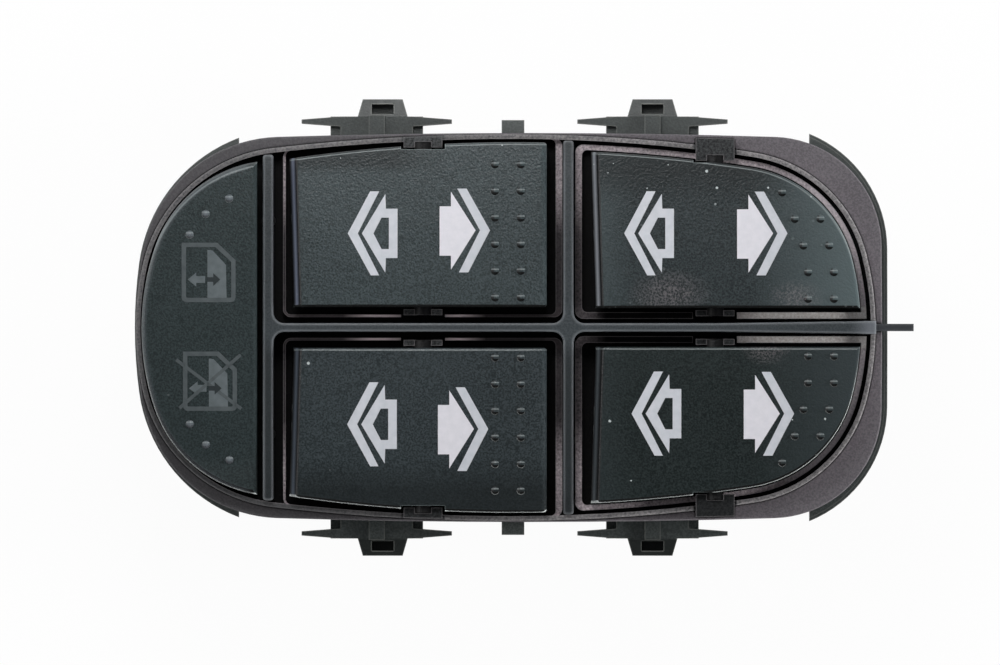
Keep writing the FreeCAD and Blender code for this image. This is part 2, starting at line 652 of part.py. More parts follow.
def lockout_rocker():
    """Crescent cap with a central hinge boss and a lever, drawn level."""
    wall = size("cap_wall")
    left, x1 = -size("flange_left"), LOCKOUT_EDGE
    bounds = rectangle(left, x1, -WELL_SIDE, WELL_SIDE, SKIRT)
    plan = oval(LOCKOUT_LINE, 0, SKIRT).common(bounds).Faces[0]
    blank = crowned_blank(
        left, x1, size("lockout_edge"), size("lockout_face"), size("lockout_face"), False
    )
    solid = blank.common(prism(plan, size("rim_height") + size("face_high")))
    cap = rounded_top(solid, size("lockout_round"))
    shrunk = rectangle(left, x1 - wall, -WELL_SIDE, WELL_SIDE, SKIRT)
    inner = oval(LOCKOUT_LINE, wall, SKIRT).common(shrunk).Faces[0]
    cap = cap.cut(prism(inner, CEILING - SKIRT))
    x, z = -size("saddle_x"), LOCKOUT_PIVOT
    boss_half = size("saddle_half") - size("saddle_plate") / 2 - size("fork_gap")
    radius = size("lug_radius")
    boss = block(x - boss_half, x + boss_half, -radius, radius, z, CEILING + CAP_BITE)
    barrel = Part.makeCylinder(radius, 2 * boss_half, Vector(x - boss_half, 0, z), X_AXIS)
    stub_half = size("saddle_half") + size("saddle_plate") / 2 - STUB_SHY
    axle = Part.makeCylinder(
        size("trunnion_radius"), 2 * stub_half, Vector(x - stub_half, 0, z), X_AXIS
    )
    arm = lever(0, 0)
    arm.rotate(Vector(0, 0, 0), Z_AXIS, 90)
    arm.translate(Vector(x, 0, 0))
    spots = [(x + dx, sign * y) for dx, y in LOCKOUT_STUDS for sign in (1, -1)]
    return fuse([cap, boss, barrel, axle, arm] + studs_on(spots, plan, cap))


# Fixed mouldings

def bracket(cell):
    """Outer bearing of a rocker: a back wall with two legs round a blind bearing."""
    x, half = cell["pivot_x"], size("fork_half")
    inner = cell["notch_y"] + size("fork_gap")
    body = block(x - half, x + half, inner, SIDE, SEAT, FORK_TOP)
    body = body.common(prism(oval(BEZEL_LINE, size("bracket_margin"), SEAT), FORK_TOP - SEAT))
    return body.cut(bearing(x, inner - BEYOND, inner + size("fork_depth")))


def bearing(x, y0, y1):
    """Bore of a snap-in bearing across the panel."""
    radius = size("trunnion_radius") + size("trunnion_clearance")
    return Part.makeCylinder(radius, y1 - y0, Vector(x, y0, PIVOT), Y_AXIS)


def inner_fork(cell):
    """Inner bearing of a rocker, an open fork on the deck."""
    x, half = cell["pivot_x"], size("fork_half")
    y1 = cell["y0"] - size("fork_gap")
    y0 = y1 - size("inner_fork_thick")
    fork = block(x - half, x + half, y0, y1, SEAT, FORK_TOP)
    return fork.cut(bearing(x, y0 - BEYOND, y1 + BEYOND))


def round_straight(solid, stations, radius):
    """Round the upright corners of a solid that lie at the given stations along X."""
    corners = [
        edge for edge in solid.Edges
        if edge.BoundBox.ZLength > edge.BoundBox.DiagonalLength / 2
        and any(abs(edge.BoundBox.Center.x - station) < RIM_BITE for station in stations)
    ]
    return solid.makeFillet(radius, corners)


def collar(cell):
    """Ledge round a rocker, lower than the rim."""
    x0, x1, y0 = cell["collar"]
    left, right, inner = cell["collar_sides"]
    outer_inset, inner_inset = cell["collar_insets"]
    height = COLLAR_TOP - SEAT
    stations = [x0] + [x1] * (right > 0)
    outside = cell_face(WELL_LINE, x0 - left, x1 + right, y0 - inner, outer_inset, SEAT)
    outside = prism(outside, height)
    inside = prism(cell_face(WELL_LINE, x0, x1, y0, inner_inset, SEAT), height)
    inside = round_straight(inside, stations, size("collar_round"))
    outside = round_straight(outside, [x0 - left] + [x1 + right] * (right > 0),
                             size("collar_round") + size("collar_thin"))
    half = size("notch_half")
    gap = block(cell["pivot_x"] - half, cell["pivot_x"] + half, 0, cell["notch_y"] / 2,
                SEAT, COLLAR_TOP)
    return outside.cut(inside).cut(gap)


def lever_opening(cell, z0, z1):
    """Opening that clears a lever between two levels, across its whole swing."""
    reach = (PIVOT - z0) * math.tan(math.radians(size("rocker_swing")))
    half = lever_half(z1) + reach + size("fork_gap")
    wide = size("lever_width") / 2 + size("fork_gap")
    x, y = cell["pivot_x"], cell["lever_y"]
    return block(x - half, x + half, y - wide, y + wide, z0, z1)


def lockout_opening(z0, z1):
    """The same for the lever of the lockout rocker."""
    reach = (LOCKOUT_PIVOT - z0) * math.tan(math.radians(size("lockout_tilt")))
    half = lever_half(z1) + reach + size("fork_gap")
    wide = size("lever_width") / 2 + size("fork_gap")
    x = -size("saddle_x")
    return block(x - wide, x + wide, -half, half, z0, z1)


def both_sides(shapes):
    """Shapes and their mirror images."""
    return shapes + [mirrored(shape) for shape in shapes]


def saddle():
    """Two plates on the deck that carry the lockout rocker."""
    plates = []
    half, wide = size("saddle_plate") / 2, size("saddle_half_width")
    top = LOCKOUT_PIVOT + size("fork_rise")
    radius = size("trunnion_radius") + size("trunnion_clearance")
    for sign in (-1, 1):
        x = -size("saddle_x") + sign * size("saddle_half")
        plate = block(x - half, x + half, -wide, wide, SEAT, top)
        bore = Part.makeCylinder(radius, 4 * half, Vector(x - 2 * half, 0, LOCKOUT_PIVOT), X_AXIS)
        plates.append(plate.cut(bore))
    return plates


def frame_pegs(grow):
    """Pegs of the divider frame, or their holes when grown."""
    spots = [(DIVIDER_ONE, size("peg_one_y")), (DIVIDER_TWO, size("peg_two_y"))]
    radius = size("peg_radius") + grow
    pegs = [Part.makeCylinder(radius, size("peg_length") + size("deck_thick") + grow,
                              Vector(x, y, SEAT - size("peg_length")))
            for x, y in spots]
    return both_sides(pegs)


def bezel():
    """Rim, deck, ledges and hinge bearings in one moulding."""
    base = prism(oval(BEZEL_LINE, 0, SEAT), size("band_height"))
    crest = [edge for edge in base.Edges if edge.BoundBox.ZMin > BAND_TOP - size("band_round")]
    base = base.makeFillet(size("band_round"), crest)
    well = prism(oval(WELL_LINE, 0, DECK_TOP), size("rim_height"))
    rim = prism(oval(WELL_LINE, -size("rim_wall"), SEAT), size("rim_height"))
    lip = [edge for edge in rim.Edges if edge.BoundBox.ZMin > RIM_TOP - size("rim_round")]
    rim = rim.makeFillet(size("rim_round"), lip)
    shell = base.fuse(rim).cut(well)
    cells = list(CELLS.values())
    additions = both_sides([collar(cell) for cell in cells])
    additions += both_sides([inner_fork(cell) for cell in cells])
    additions += both_sides([bracket(cell) for cell in cells]) + saddle()
    openings = both_sides([lever_opening(cell, SEAT, DECK_TOP) for cell in cells])
    openings += both_sides([
        bearing(cell["pivot_x"], cell["notch_y"], cell["notch_y"] + size("fork_gap")
                + size("fork_depth")) for cell in cells
    ])
    openings.append(lockout_opening(SEAT, DECK_TOP))
    nose = size("rib_nose") / 2 + size("seat_play")
    openings.append(block(size("rib_flare"), RIB_END + size("seat_play"), -nose, nose,
                          DECK_TOP, RIM_TOP))
    openings += frame_pegs(size("seat_play"))
    return fuse([shell] + additions + locating_legs()).cut(Part.makeCompound(openings))


def locating_legs():
    """Legs under the deck that centre the bezel in the carrier."""
    legs = []
    half = size("leg_length") / 2
    low = SEAT - size("leg_drop")
    strip = ring(BEZEL_LINE, LIP_OUTSIDE, LIP_OUTSIDE + size("leg_thick"), low, SEAT)
    for x in (-size("leg_station"), size("leg_station")):
        legs.append(strip.common(block(x - half, x + half, 0, SIDE, low, SEAT)))
    return both_sides(legs)


def divider_frame():
    """Two dividers and a long rib in one moulding, with the blade at its nose."""
    half, rise = DIVIDER_HALF, RIB_TOP - DECK_TOP

    def bar(x, widest):
        reach = half_width_at(WELL_LINE, widest) - size("divider_gap")
        solid = prism(rectangle(x - half, x + half, -reach, reach, DECK_TOP), rise)
        return round_straight(solid, [x - half, x + half], size("divider_corner"))

    one, two = DIVIDER_ONE, DIVIDER_TWO
    half_rib, half_nose, flare = size("rib_thick") / 2, size("rib_nose") / 2, size("rib_flare")
    bars = [
        bar(one, one - half),
        bar(two, two + half),
        panel_profile(
            [(one, -half_rib), (flare, -half_rib), (RIB_END, -half_nose), (RIB_END, half_nose),
             (flare, half_rib), (one, half_rib)],
            DECK_TOP, RIB_TOP,
        ),
    ]
    frame = fuse(bars)

    def in_corner(edge):
        box = edge.BoundBox
        beside = min(abs(box.XMin - one), abs(box.XMin - two)) < size("divider_thick")
        upright = box.ZLength > rise / 2
        return upright and beside and abs(abs(box.YMin) - half_rib) < size("seat_play")

    roots = [edge for edge in frame.Edges if in_corner(edge)]
    frame = frame.makeFillet(size("root_round"), roots)
    bow = Part.makeCylinder(
        size("crown_radius"), size("flange_left") + size("flange_right") + 2 * BEYOND,
        Vector(-size("flange_left") - BEYOND, 0, RIB_TOP - size("crown_radius")), X_AXIS,
    )
    frame = frame.common(bow)
    crest = [edge for edge in frame.Edges if edge.BoundBox.ZMin > RIM_TOP]
    frame = frame.makeFillet(size("rib_round"), crest)
    blade_half = size("blade_thick") / 2
    blade = block(RIB_END - BEYOND, size("blade_tip"), -blade_half, blade_half,
                  BAND_TOP, BAND_TOP + size("blade_height"))
    return fuse([frame, blade] + frame_pegs(0))


def clip(x, shift):
    """Panel clip on the carrier: block, two spring wings and a hooked tongue."""
    top = FLANGE - size("clip_drop")
    low = top - size("clip_height")
    reach, far = CLIP_FACE, CLIP_NOSE
    root = SIDE - size("wall_inset") - size("wall_thick") / 2
    half = size("clip_block_length") / 2
    step = size("clip_step")
    rib = size("clip_rib") / 2
    pieces = [
        block(x - half, x + half, root, reach, low, top - 2 * step),
        block(x - half + 2 * step, x + half - 2 * step, root, reach, low, top - step),
        block(x - rib, x + rib, root, reach + step / 4, low, top),
    ]
    wing_root = half - 2 * step
    tip = size("wing_span") / 2
    middle = reach - size("wing_root_thick") / 2
    for sign in (-1, 1):
        pieces.append(panel_profile(
            [(x + sign * wing_root, reach), (x + sign * tip, middle + size("wing_thick") / 2),
             (x + sign * tip, middle - size("wing_thick") / 2),
             (x + sign * wing_root, reach - size("wing_root_thick"))],
            low + step, top - step,
        ))
    base, nose = size("tongue_base") / 2, size("tongue_tip") / 2
    middle_x = x + shift
    plan = panel_profile(
        [(middle_x - base, reach), (middle_x + base, reach), (middle_x + nose, far),
         (middle_x - nose, far)],
        low, top,
    )
    foot = reach + size("tongue_foot")
    side = [(reach - BEYOND, low), (foot, low), (far, top - 3 * step), (far, top - 2 * step),
            (reach, top - step), (reach - BEYOND, top - step)]
    loop = [Vector(middle_x - 2 * base, y, z) for y, z in side + side[:1]]
    wedge = Part.Face(Part.makePolygon(loop)).extrude(Vector(4 * base, 0, 0))
    pocket = size("tongue_pocket") / 2
    tongue = plan.common(wedge).cut(
        block(middle_x - pocket, middle_x + pocket, reach + step / 2, far - step,
              top - step - size("pocket_depth"), top)
    )
    return fuse(pieces + [tongue])


def hooks(grow):
    """Snap hooks of the lower case, or their windows when grown."""
    half = size("hook_length") / 2 + grow
    low = SPLIT + size("hook_rise") - grow
    high = low + size("hook_height") + 2 * grow
    outer = 0 if grow else WALL_INSIDE - size("hook_reach")
    strip = ring(BEZEL_LINE, outer, LIP_OUTSIDE + size("lip_wall") / 2, low, high)
    return both_sides([
        strip.common(block(x - half, x + half, 0, SIDE, low, high))
        for x in (-size("hook_station"), 0, size("hook_station"))
    ])


def rails(x, y, along_x):
    """Two guide rails under the guide plate, beside one slider."""
    inner = size("slider_width") / 2 + size("slide_clearance") / 2
    outer = inner + size("rail_thick")
    half = size("rail_length") / 2
    low = BOARD_TOP + size("slide_clearance")
    parts = []
    for sign in (-1, 1):
        a, b = sorted((sign * inner, sign * outer))
        if along_x:
            parts.append(block(x - half, x + half, y + a, y + b, low, PLATE_TOP))
        else:
            parts.append(block(x + a, x + b, y - half, y + half, low, PLATE_TOP))
    inset = LIP_OUTSIDE + size("lip_wall") + size("slide_clearance")
    room = prism(oval(BEZEL_LINE, inset, low), PLATE_TOP - low)
    return [part.common(room) for part in parts]


def carrier():
    """Upper case: skirt, flange with corner lips, guide plate and panel clips."""
    flange = prism(oval(BEZEL_LINE, size("bezel_margin"), FLANGE), size("flange_thick"))
    half = LIP_LINE["half_width"] + BEYOND
    stepped = SEAT - size("lip_step")
    lips = [prism(oval(LIP_LINE, 0, FLANGE), stepped - FLANGE),
            prism(oval(LIP_LINE, size("lip_step"), FLANGE), size("flange_thick"))]
    right = block(size("lip_start_right"), size("flange_right") + BEYOND, -half, half,
                  FLANGE, SEAT)
    lips = [lip.common(right) for lip in lips]
    left = block(-size("flange_left") - BEYOND, -size("lip_start_left"), -half, half,
                 FLANGE, SEAT)
    lips.append(prism(oval(LIP_LINE, 0, FLANGE), size("flange_thick")).common(left))
    tab_half, tab_far = size("tab_width") / 2, SIDE + size("tab_reach")
    tabs = block(-tab_half, tab_half, -tab_far, tab_far, FLANGE, SEAT)
    body = prism(oval(BEZEL_LINE, size("wall_inset"), SPLIT), SEAT - SPLIT)
    solid = fuse([flange, tabs, body] + lips)
    solid = solid.cut(prism(oval(BEZEL_LINE, WALL_INSIDE, PLATE_TOP), SEAT - PLATE_TOP))
    solid = solid.cut(prism(oval(BEZEL_LINE, WALL_INSIDE, SPLIT), PLATE - SPLIT))
    cells = list(CELLS.values())
    additions = []
    for cell in cells:
        additions += rails(cell["pivot_x"], cell["lever_y"], True)
        additions.append(Part.makeCylinder(
            size("post_radius"), size("spring_height") + size("spring_strip"),
            Vector(cell["pivot_x"], cell["lever_y"] + size("spring_reach"), PLATE_TOP),
        ))
    additions += [clip(-size("clip_left_x"), size("clip_tongue_shift")),
                  clip(size("clip_right_x"), 0)]
    additions = both_sides(additions) + rails(-size("saddle_x"), 0, False)
    openings = both_sides([lever_opening(cell, PLATE, PLATE_TOP) for cell in cells])
    openings.append(lockout_opening(PLATE, PLATE_TOP))
    return fuse([solid] + additions).cut(Part.makeCompound(openings + hooks(size("hook_play"))))


def lower_case():
    """Tray with the connector shroud, board rests and snap hooks."""
    tray = prism(oval(BEZEL_LINE, size("wall_inset"), FLOOR), SPLIT - FLOOR)
    lip_height = SPLIT + size("case_overlap") - FLOOR_TOP
    lip = prism(oval(BEZEL_LINE, LIP_OUTSIDE, FLOOR_TOP), lip_height)
    cavity = prism(oval(BEZEL_LINE, LIP_OUTSIDE + size("lip_wall"), FLOOR_TOP), lip_height)
    shroud = block(-SHROUD_X, SHROUD_X, -SHROUD_Y, SHROUD_Y, 0, FLOOR)
    shroud = round_straight(shroud, [-SHROUD_X, SHROUD_X], size("shroud_radius"))
    wall = size("shroud_wall")
    inside_x, inside_y = SHROUD_X - wall, SHROUD_Y - wall
    socket = block(-inside_x, inside_x, -inside_y, inside_y, 0, FLOOR)
    key = size("key_width") / 2
    keys = [
        block(x - key, x + key, inside_y - size("key_depth"), inside_y + wall / 2, 0, FLOOR)
        for x in (-SHROUD_X / 2, SHROUD_X / 2 + 2 * key)
    ]
    fit = size("header_fit")
    opening = block(
        -size("header_length") / 2 - fit, size("header_length") / 2 + fit,
        -size("header_width") / 2 - fit, size("header_width") / 2 + fit, FLOOR, FLOOR_TOP,
    )
    radius, rise = size("boss_radius"), size("board_gap")
    rests = both_sides([
        Part.makeCylinder(radius, rise, Vector(x, size("rest_y"), FLOOR_TOP))
        for x in (-size("rest_x"), 0, size("rest_x"))
    ])
    case = fuse([tray, lip]).cut(cavity)
    case = fuse([case, shroud]).cut(socket).cut(opening)
    return fuse([case] + keys + rests + hooks(0))


def circuit_board():
    """Board on its rests, with the pin holes."""
    edge = LIP_OUTSIDE + size("lip_wall") + size("board_edge_play")
    board = prism(oval(BEZEL_LINE, edge, BOARD), size("board_thick"))
    half = size("pin_size") / 2 + size("pin_hole_play")
    holes = [block(x - half, x + half, y - half, y + half, BOARD, BOARD_TOP)
             for x, y in pin_spots()]
    return board.cut(Part.makeCompound(holes))


def pin_spots():
    """Centres of the connector pins."""
    start = -PIN_PITCH * PIN_GAPS / 2
    return [(start + column * PIN_PITCH, sign * size("pin_row_gap") / 2)
            for column in range(PIN_GAPS + 1) for sign in (-1, 1)]


def pin_header():
    """Header body in the floor opening, with its pins."""
    x, y = size("header_length") / 2, size("header_width") / 2
    body = block(-x, x, -y, y, FLOOR, BOARD)
    half = size("pin_size") / 2
    pins = [block(px - half, px + half, py - half, py + half,
                  FLOOR - size("pin_free_length"), BOARD_TOP)
            for px, py in pin_spots()]
    return fuse([body] + pins)


def centring_spring(cell):
    """Hairpin of flat strip round a post, one arm on each side of a lever."""
    inner = lever_half(PLATE_TOP + size("spring_height")) + size("spring_play")
    outer = inner + size("spring_strip")
    x, height = cell["pivot_x"], size("spring_height")
    start = cell["lever_y"] - size("spring_tail")
    post = cell["lever_y"] + size("spring_reach")

    def loop(half):
        straight = block(x - half, x + half, start, post, PLATE_TOP, PLATE_TOP + height)
        return fuse([straight, Part.makeCylinder(half, height, Vector(x, post, PLATE_TOP))])

    return loop(outer).cut(loop(inner))


def detent_spring():
    """Flat strip with a crest in the middle, beside the lockout lever."""
    strip, half = size("spring_strip"), size("slider_length") / 2
    crest = size("detent_crest")
    inner = size("lever_width") / 2 + size("spring_play")
    near = [(inner + crest, -half), (inner + crest, -crest), (inner, 0), (inner + crest, crest),
            (inner + crest, half)]
    far = [(x + strip, y) for x, y in reversed(near)]
    points = [(-size("saddle_x") + x, y) for x, y in near + far]
    return panel_profile(points, PLATE_TOP, PLATE_TOP + size("spring_height"))


def add_feature(label, shape, placement=None):
    """Bind a finished shape to a named object of the document."""
    feature = doc.addObject("Part::Feature", label)
    feature.Shape = shape
    feature.Label = label
    feature.Placement = placement or FreeCAD.Placement()
    return feature


# Sub-parts that are made in sketches

def origin_plane(body, role):
    """Origin plane of one body."""
    return next(item for item in body.Origin.OriginFeatures if item.Role == role)


def sketch_polygon(body, name, role, points, lift="0"):
    """Closed sketch whose corners follow expressions on the sheet."""
    sketch = body.newObject("Sketcher::SketchObject", name)
    sketch.AttachmentSupport = (origin_plane(body, role), [""])
    sketch.MapMode = "FlatFace"
    sketch.setExpression("AttachmentOffset.Base.z", lift)
    values = [[body.evalExpression(text) for text in point] for point in points]
    corners = [Vector(float(x), float(y), 0) for x, y in values]
    count = len(corners)
    for index, corner in enumerate(corners):
        sketch.addGeometry(Part.LineSegment(corner, corners[(index + 1) % count]))
    for index in range(count):
        sketch.addConstraint(Sketcher.Constraint("Coincident", index, 2, (index + 1) % count, 1))
    for index, point in enumerate(points):
        for kind, text, value in zip(("DistanceX", "DistanceY"), point, values[index]):
            number = sketch.addConstraint(
                Sketcher.Constraint(kind, -1, 1, index, 1, float(value))
            )
            sketch.setExpression(f"Constraints[{number}]", text)
    return sketch


def rectangle_points(length, width):
    """Corners of a centred rectangle, as expressions."""
    x, y = f"({length}) / 2", f"({width}) / 2"
    return [(f"-{x}", f"-{y}"), (x, f"-{y}"), (x, y), (f"-{x}", y)]


def pad(body, sketch, name, height):
    """Pad whose length follows the sheet."""
    feature = body.newObject("PartDesign::Pad", name)
    feature.Profile = sketch
    feature.setExpression("Length", height)
    return feature


def through_pocket(body, sketch, name, depth):
    """Pocket that cuts upward from the underside."""
    feature = body.newObject("PartDesign::Pocket", name)
    feature.Profile = sketch
    feature.Reversed = True
    feature.setExpression("Length", depth)
    return feature


def place(body, x, y, level, turned=False):
    """Put a body where the sheet says."""
    if turned:
        body.Placement.Rotation = FreeCAD.Rotation(Z_AXIS, 90)
    body.setExpression("Placement.Base.x", x)
    body.setExpression("Placement.Base.y", y)
    body.setExpression("Placement.Base.z", level)


BOARD_TOP_LEVEL = "sizes.shroud_height + sizes.floor_thick + sizes.board_gap + sizes.board_thick"
SLIDER_LEVEL = BOARD_TOP_LEVEL + " + sizes.slide_clearance"
LEVER_Y = {
    side: "sizes.flange_half_width - sizes.wall_inset - sizes.wall_thick"
          f" - sizes.{side}_post_inset - sizes.spring_reach"
    for side in ("left", "right")
}


def slider(label, x, y, turned=False):
    """Slider block with a slot for the lever tip."""
    body = doc.addObject("PartDesign::Body", label)
    body.Label = label
    foot = sketch_polygon(body, f"{label}_outline", "XY_Plane",
                          rectangle_points("sizes.slider_length", "sizes.slider_width"))
    pad(body, foot, f"{label}_block", "sizes.slider_height")
    slot = sketch_polygon(
        body, f"{label}_slot_outline", "XY_Plane",
        rectangle_points("2 * (sizes.lever_tip_radius + sizes.tip_clearance)", "sizes.slot_width"),
    )
    through_pocket(body, slot, f"{label}_slot", "sizes.slider_height")
    place(body, x, y, SLIDER_LEVEL, turned)
    return body


def contact_bridge(label, x, y, turned=False):
    """Springy strip under a slider, pressed to the board at both ends."""
    body = doc.addObject("PartDesign::Body", label)
    body.Label = label
    end, foot, rise = "sizes.bridge_length / 2", "sizes.bridge_length / 3", "sizes.bridge_length / 4"
    low, lift = "sizes.bridge_lift", "sizes.slide_clearance - sizes.bridge_thick"
    thick = "sizes.bridge_thick"
    under = [(f"-{end}", low), (f"-{foot}", low), (f"-{rise}", lift), (rise, lift), (foot, low),
             (end, low)]
    over = [(px, f"{pz} + {thick}") for px, pz in reversed(under)]
    strip = sketch_polygon(body, f"{label}_profile", "XZ_Plane", under + over,
                           "-sizes.bridge_width / 2")
    pad(body, strip, f"{label}_strip", "sizes.bridge_width")
    place(body, x, y, BOARD_TOP_LEVEL, turned)
    return body


def lamp(label, x, y):
    """Lamp on the board that lights one rocker from below."""
    body = doc.addObject("PartDesign::Body", label)
    body.Label = label
    foot = sketch_polygon(body, f"{label}_outline", "XY_Plane",
                          rectangle_points("sizes.lamp_length", "sizes.lamp_width"))
    pad(body, foot, f"{label}_block", "sizes.lamp_height")
    place(body, x, y, BOARD_TOP_LEVEL)
    return body


# Build everything

cells = {
    "front_left": ("left", 1), "rear_left": ("left", -1),
    "front_right": ("right", 1), "rear_right": ("right", -1),
}
features = [
    add_feature("bezel", bezel()),
    add_feature("divider_frame", divider_frame()),
    add_feature("carrier", carrier()),
    add_feature("lower_case", lower_case()),
    add_feature("circuit_board", circuit_board()),
    add_feature("pin_header", pin_header()),
]
for place_name, (side, sign) in cells.items():
    cell = CELLS[side]
    cap = window_rocker(side)
    spring = centring_spring(cell)
    if sign < 0:
        cap, spring = mirrored(cap), mirrored(spring)
    features.append(add_feature(f"window_rocker_{place_name}", cap))
    features.append(add_feature(f"centring_spring_{place_name}", spring))
    pivot = "-sizes.pivot_left_x" if side == "left" else "sizes.pivot_right_x"
    across = LEVER_Y[side] if sign > 0 else f"-({LEVER_Y[side]})"
    features.append(slider(f"slider_{place_name}", pivot, across))
    features.append(contact_bridge(f"contact_bridge_{place_name}", pivot, across))
    beside = f"{pivot} + sizes.lamp_offset + sizes.slider_length / 2"
    features.append(lamp(f"lamp_{place_name}", beside, across))

level_axis = Vector(-size("saddle_x"), 0, LOCKOUT_PIVOT)
tilted = FreeCAD.Placement(
    Vector(0, 0, 0), FreeCAD.Rotation(X_AXIS, size("lockout_tilt")), level_axis
)
LOCKOUT_ARM = (
    "sizes.plate_thick + sizes.throat_height + sizes.flange_thick + sizes.pivot_height"
    " - sizes.lockout_drop + sizes.slide_clearance + sizes.slider_height / 2"
)
shift = f"({LOCKOUT_ARM}) * sin(sizes.lockout_tilt * 1 deg)"
features.append(add_feature("lockout_rocker", lockout_rocker(), tilted))
features.append(add_feature("lockout_detent_spring", detent_spring()))
features.append(slider("slider_lockout", "-sizes.saddle_x", shift, True))
features.append(contact_bridge("contact_bridge_lockout", "-sizes.saddle_x", shift, True))
features.append(lamp("lamp_lockout", "-sizes.saddle_x + sizes.slider_width", "0"))
doc.recompute()

for item in doc.Objects:
    if {"Invalid", "Error"} & set(item.State):
        raise RuntimeError(f"{item.Name} failed: {item.State}")
for feature in features:
    if feature.Shape.isNull() or not feature.Shape.isValid():
        raise RuntimeError(f"{feature.Label} has no valid shape")

os.makedirs("parts", exist_ok=True)
for feature in features:
    feature.Shape.exportStep(f"parts/{feature.Label}.step")
    print(feature.Label, len(feature.Shape.Solids), round(feature.Shape.Volume, 2))
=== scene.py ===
# %% [markdown]
# # Dressing a power window switch
# The moulded pieces of this switch arrive as solids: a rim with deep wells, a cross of
# ribs, four window rockers, a crescent lockout rocker and the carrier with its clips.
# This lesson gives them their finishes and prints the signs on the rockers.
# Everything is in metres, in the same frame as the solids, so nothing has to be fitted.

# %% Load the solids
import math

import bmesh
import bpy
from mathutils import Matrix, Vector
from mathutils.bvhtree import BVHTree


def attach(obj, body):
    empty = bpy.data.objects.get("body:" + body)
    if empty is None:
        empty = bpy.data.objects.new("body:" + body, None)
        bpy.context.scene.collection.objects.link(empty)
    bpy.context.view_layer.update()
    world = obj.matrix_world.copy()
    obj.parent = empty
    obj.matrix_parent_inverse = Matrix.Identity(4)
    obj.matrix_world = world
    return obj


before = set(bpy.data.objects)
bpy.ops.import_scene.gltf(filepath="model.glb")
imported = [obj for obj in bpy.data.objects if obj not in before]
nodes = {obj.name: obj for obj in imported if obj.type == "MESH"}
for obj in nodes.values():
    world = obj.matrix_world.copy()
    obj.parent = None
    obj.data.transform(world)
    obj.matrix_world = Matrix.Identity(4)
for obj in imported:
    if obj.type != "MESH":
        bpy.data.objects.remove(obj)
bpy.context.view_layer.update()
MM = 0.001

# %% [markdown]
# ## Seeing the switch as the photograph does
# A product shot from straight above flattens everything, so the lens is very long and far
# away: neighbours of different height then hardly shift against each other. The frame is
# 150 mm wide at the rockers, a little left of and below the socket's middle.

# %% Camera
FRAME_WIDTH = 0.150
FOCAL = 600.0
SENSOR = 36.0
NEAREST = 0.01
AIM = Vector((-0.00195, -0.00075, 0.0325))

camera_data = bpy.data.cameras.new("product_camera")
camera_data.lens = FOCAL
camera_data.sensor_width = SENSOR
camera_data.clip_start = NEAREST
camera = bpy.data.objects.new("product_camera", camera_data)
camera.location = AIM + Vector((0, 0, FRAME_WIDTH * FOCAL / SENSOR))
bpy.context.scene.collection.objects.link(camera)
bpy.context.scene.camera = camera
print("camera height:", round(camera.location.z, 4))

# %% [markdown]
# ## Soft light from the far side
# In the photograph the far rockers are lighter than the near ones, and every stud has its
# light on the far side and its shadow on the near side. So the key panel stands close,
# beyond the far edge, where it fades over the width of the switch. One more panel stands
# farther off on each other side and lights the walls; the right and near ones leave no
# mirror image of themselves on the caps. The sky is pale at the sides, dimmer on the near
# side and dark overhead, where the camera stands in a real studio: flat faces mirror that
# dark patch and stay deep, and rounded edges mirror the bright side.

# %% Lamps and world
# Each panel has its place, its edge length, its power, and whether it shows in gloss.
PANELS = {
    "far_panel": ((-0.03, 0.15, 0.20), 0.09, 0.23, True),
    "left_panel": ((-0.60, 0.08, 0.30), 0.30, 1.0, True),
    "right_panel": ((0.66, 0.00, 0.20), 0.12, 3.6, False),
    "near_panel": ((0.00, -0.64, 0.22), 0.20, 1.5, False),
}
SKY_SIDE, SKY_TOP, SKY_NEAR = 0.48, 0.06, 0.35
SKY_FADE_START, SKY_FADE_END = 0.72, 0.96
SKY_NEAR_REACH = 0.35
SKY_COLOUR = (0.96, 0.97, 1.0, 1.0)


def soft_panel(name, place, size, power, shows_in_gloss):
    """Square area lamp that faces the switch and stays out of the picture."""
    data = bpy.data.lights.new(name, "AREA")
    data.shape = "SQUARE"
    data.size = size
    data.energy = power
    lamp = bpy.data.objects.new(name, data)
    lamp.location = place
    lamp.rotation_euler = (AIM - Vector(place)).to_track_quat("-Z", "Y").to_euler()
    lamp.visible_camera = False
    lamp.visible_glossy = shows_in_gloss
    bpy.context.scene.collection.objects.link(lamp)


def sky_range(tree, source, low, high, start, stop):
    """Map a range of directions to a range of brightness."""
    node = tree.nodes.new("ShaderNodeMapRange")
    limits = {"From Min": low, "From Max": high, "To Min": start, "To Max": stop}
    for key, value in limits.items():
        node.inputs[key].default_value = value
    tree.links.new(source, node.inputs["Value"])
    return node.outputs["Result"]


for panel, settings in PANELS.items():
    soft_panel(panel, *settings)

world = bpy.data.worlds.new("studio")
bpy.context.scene.world = world
world.use_nodes = True
sky = world.node_tree
direction = sky.nodes.new("ShaderNodeTexCoord")
parts = sky.nodes.new("ShaderNodeSeparateXYZ")
sky.links.new(direction.outputs["Generated"], parts.inputs["Vector"])
fade = sky_range(sky, parts.outputs["Z"], SKY_FADE_START, SKY_FADE_END, SKY_SIDE, SKY_TOP)
dim = sky_range(sky, parts.outputs["Y"], -SKY_NEAR_REACH, SKY_NEAR_REACH, SKY_NEAR, 1.0)
strength = sky.nodes.new("ShaderNodeMath")
strength.operation = "MULTIPLY"
sky.links.new(fade, strength.inputs[0])
sky.links.new(dim, strength.inputs[1])
sky.links.new(strength.outputs["Value"], sky.nodes["Background"].inputs["Strength"])
sky.nodes["Background"].inputs["Color"].default_value = SKY_COLOUR
bpy.context.scene.view_settings.view_transform = "Standard"
print("lamps:", len(PANELS))

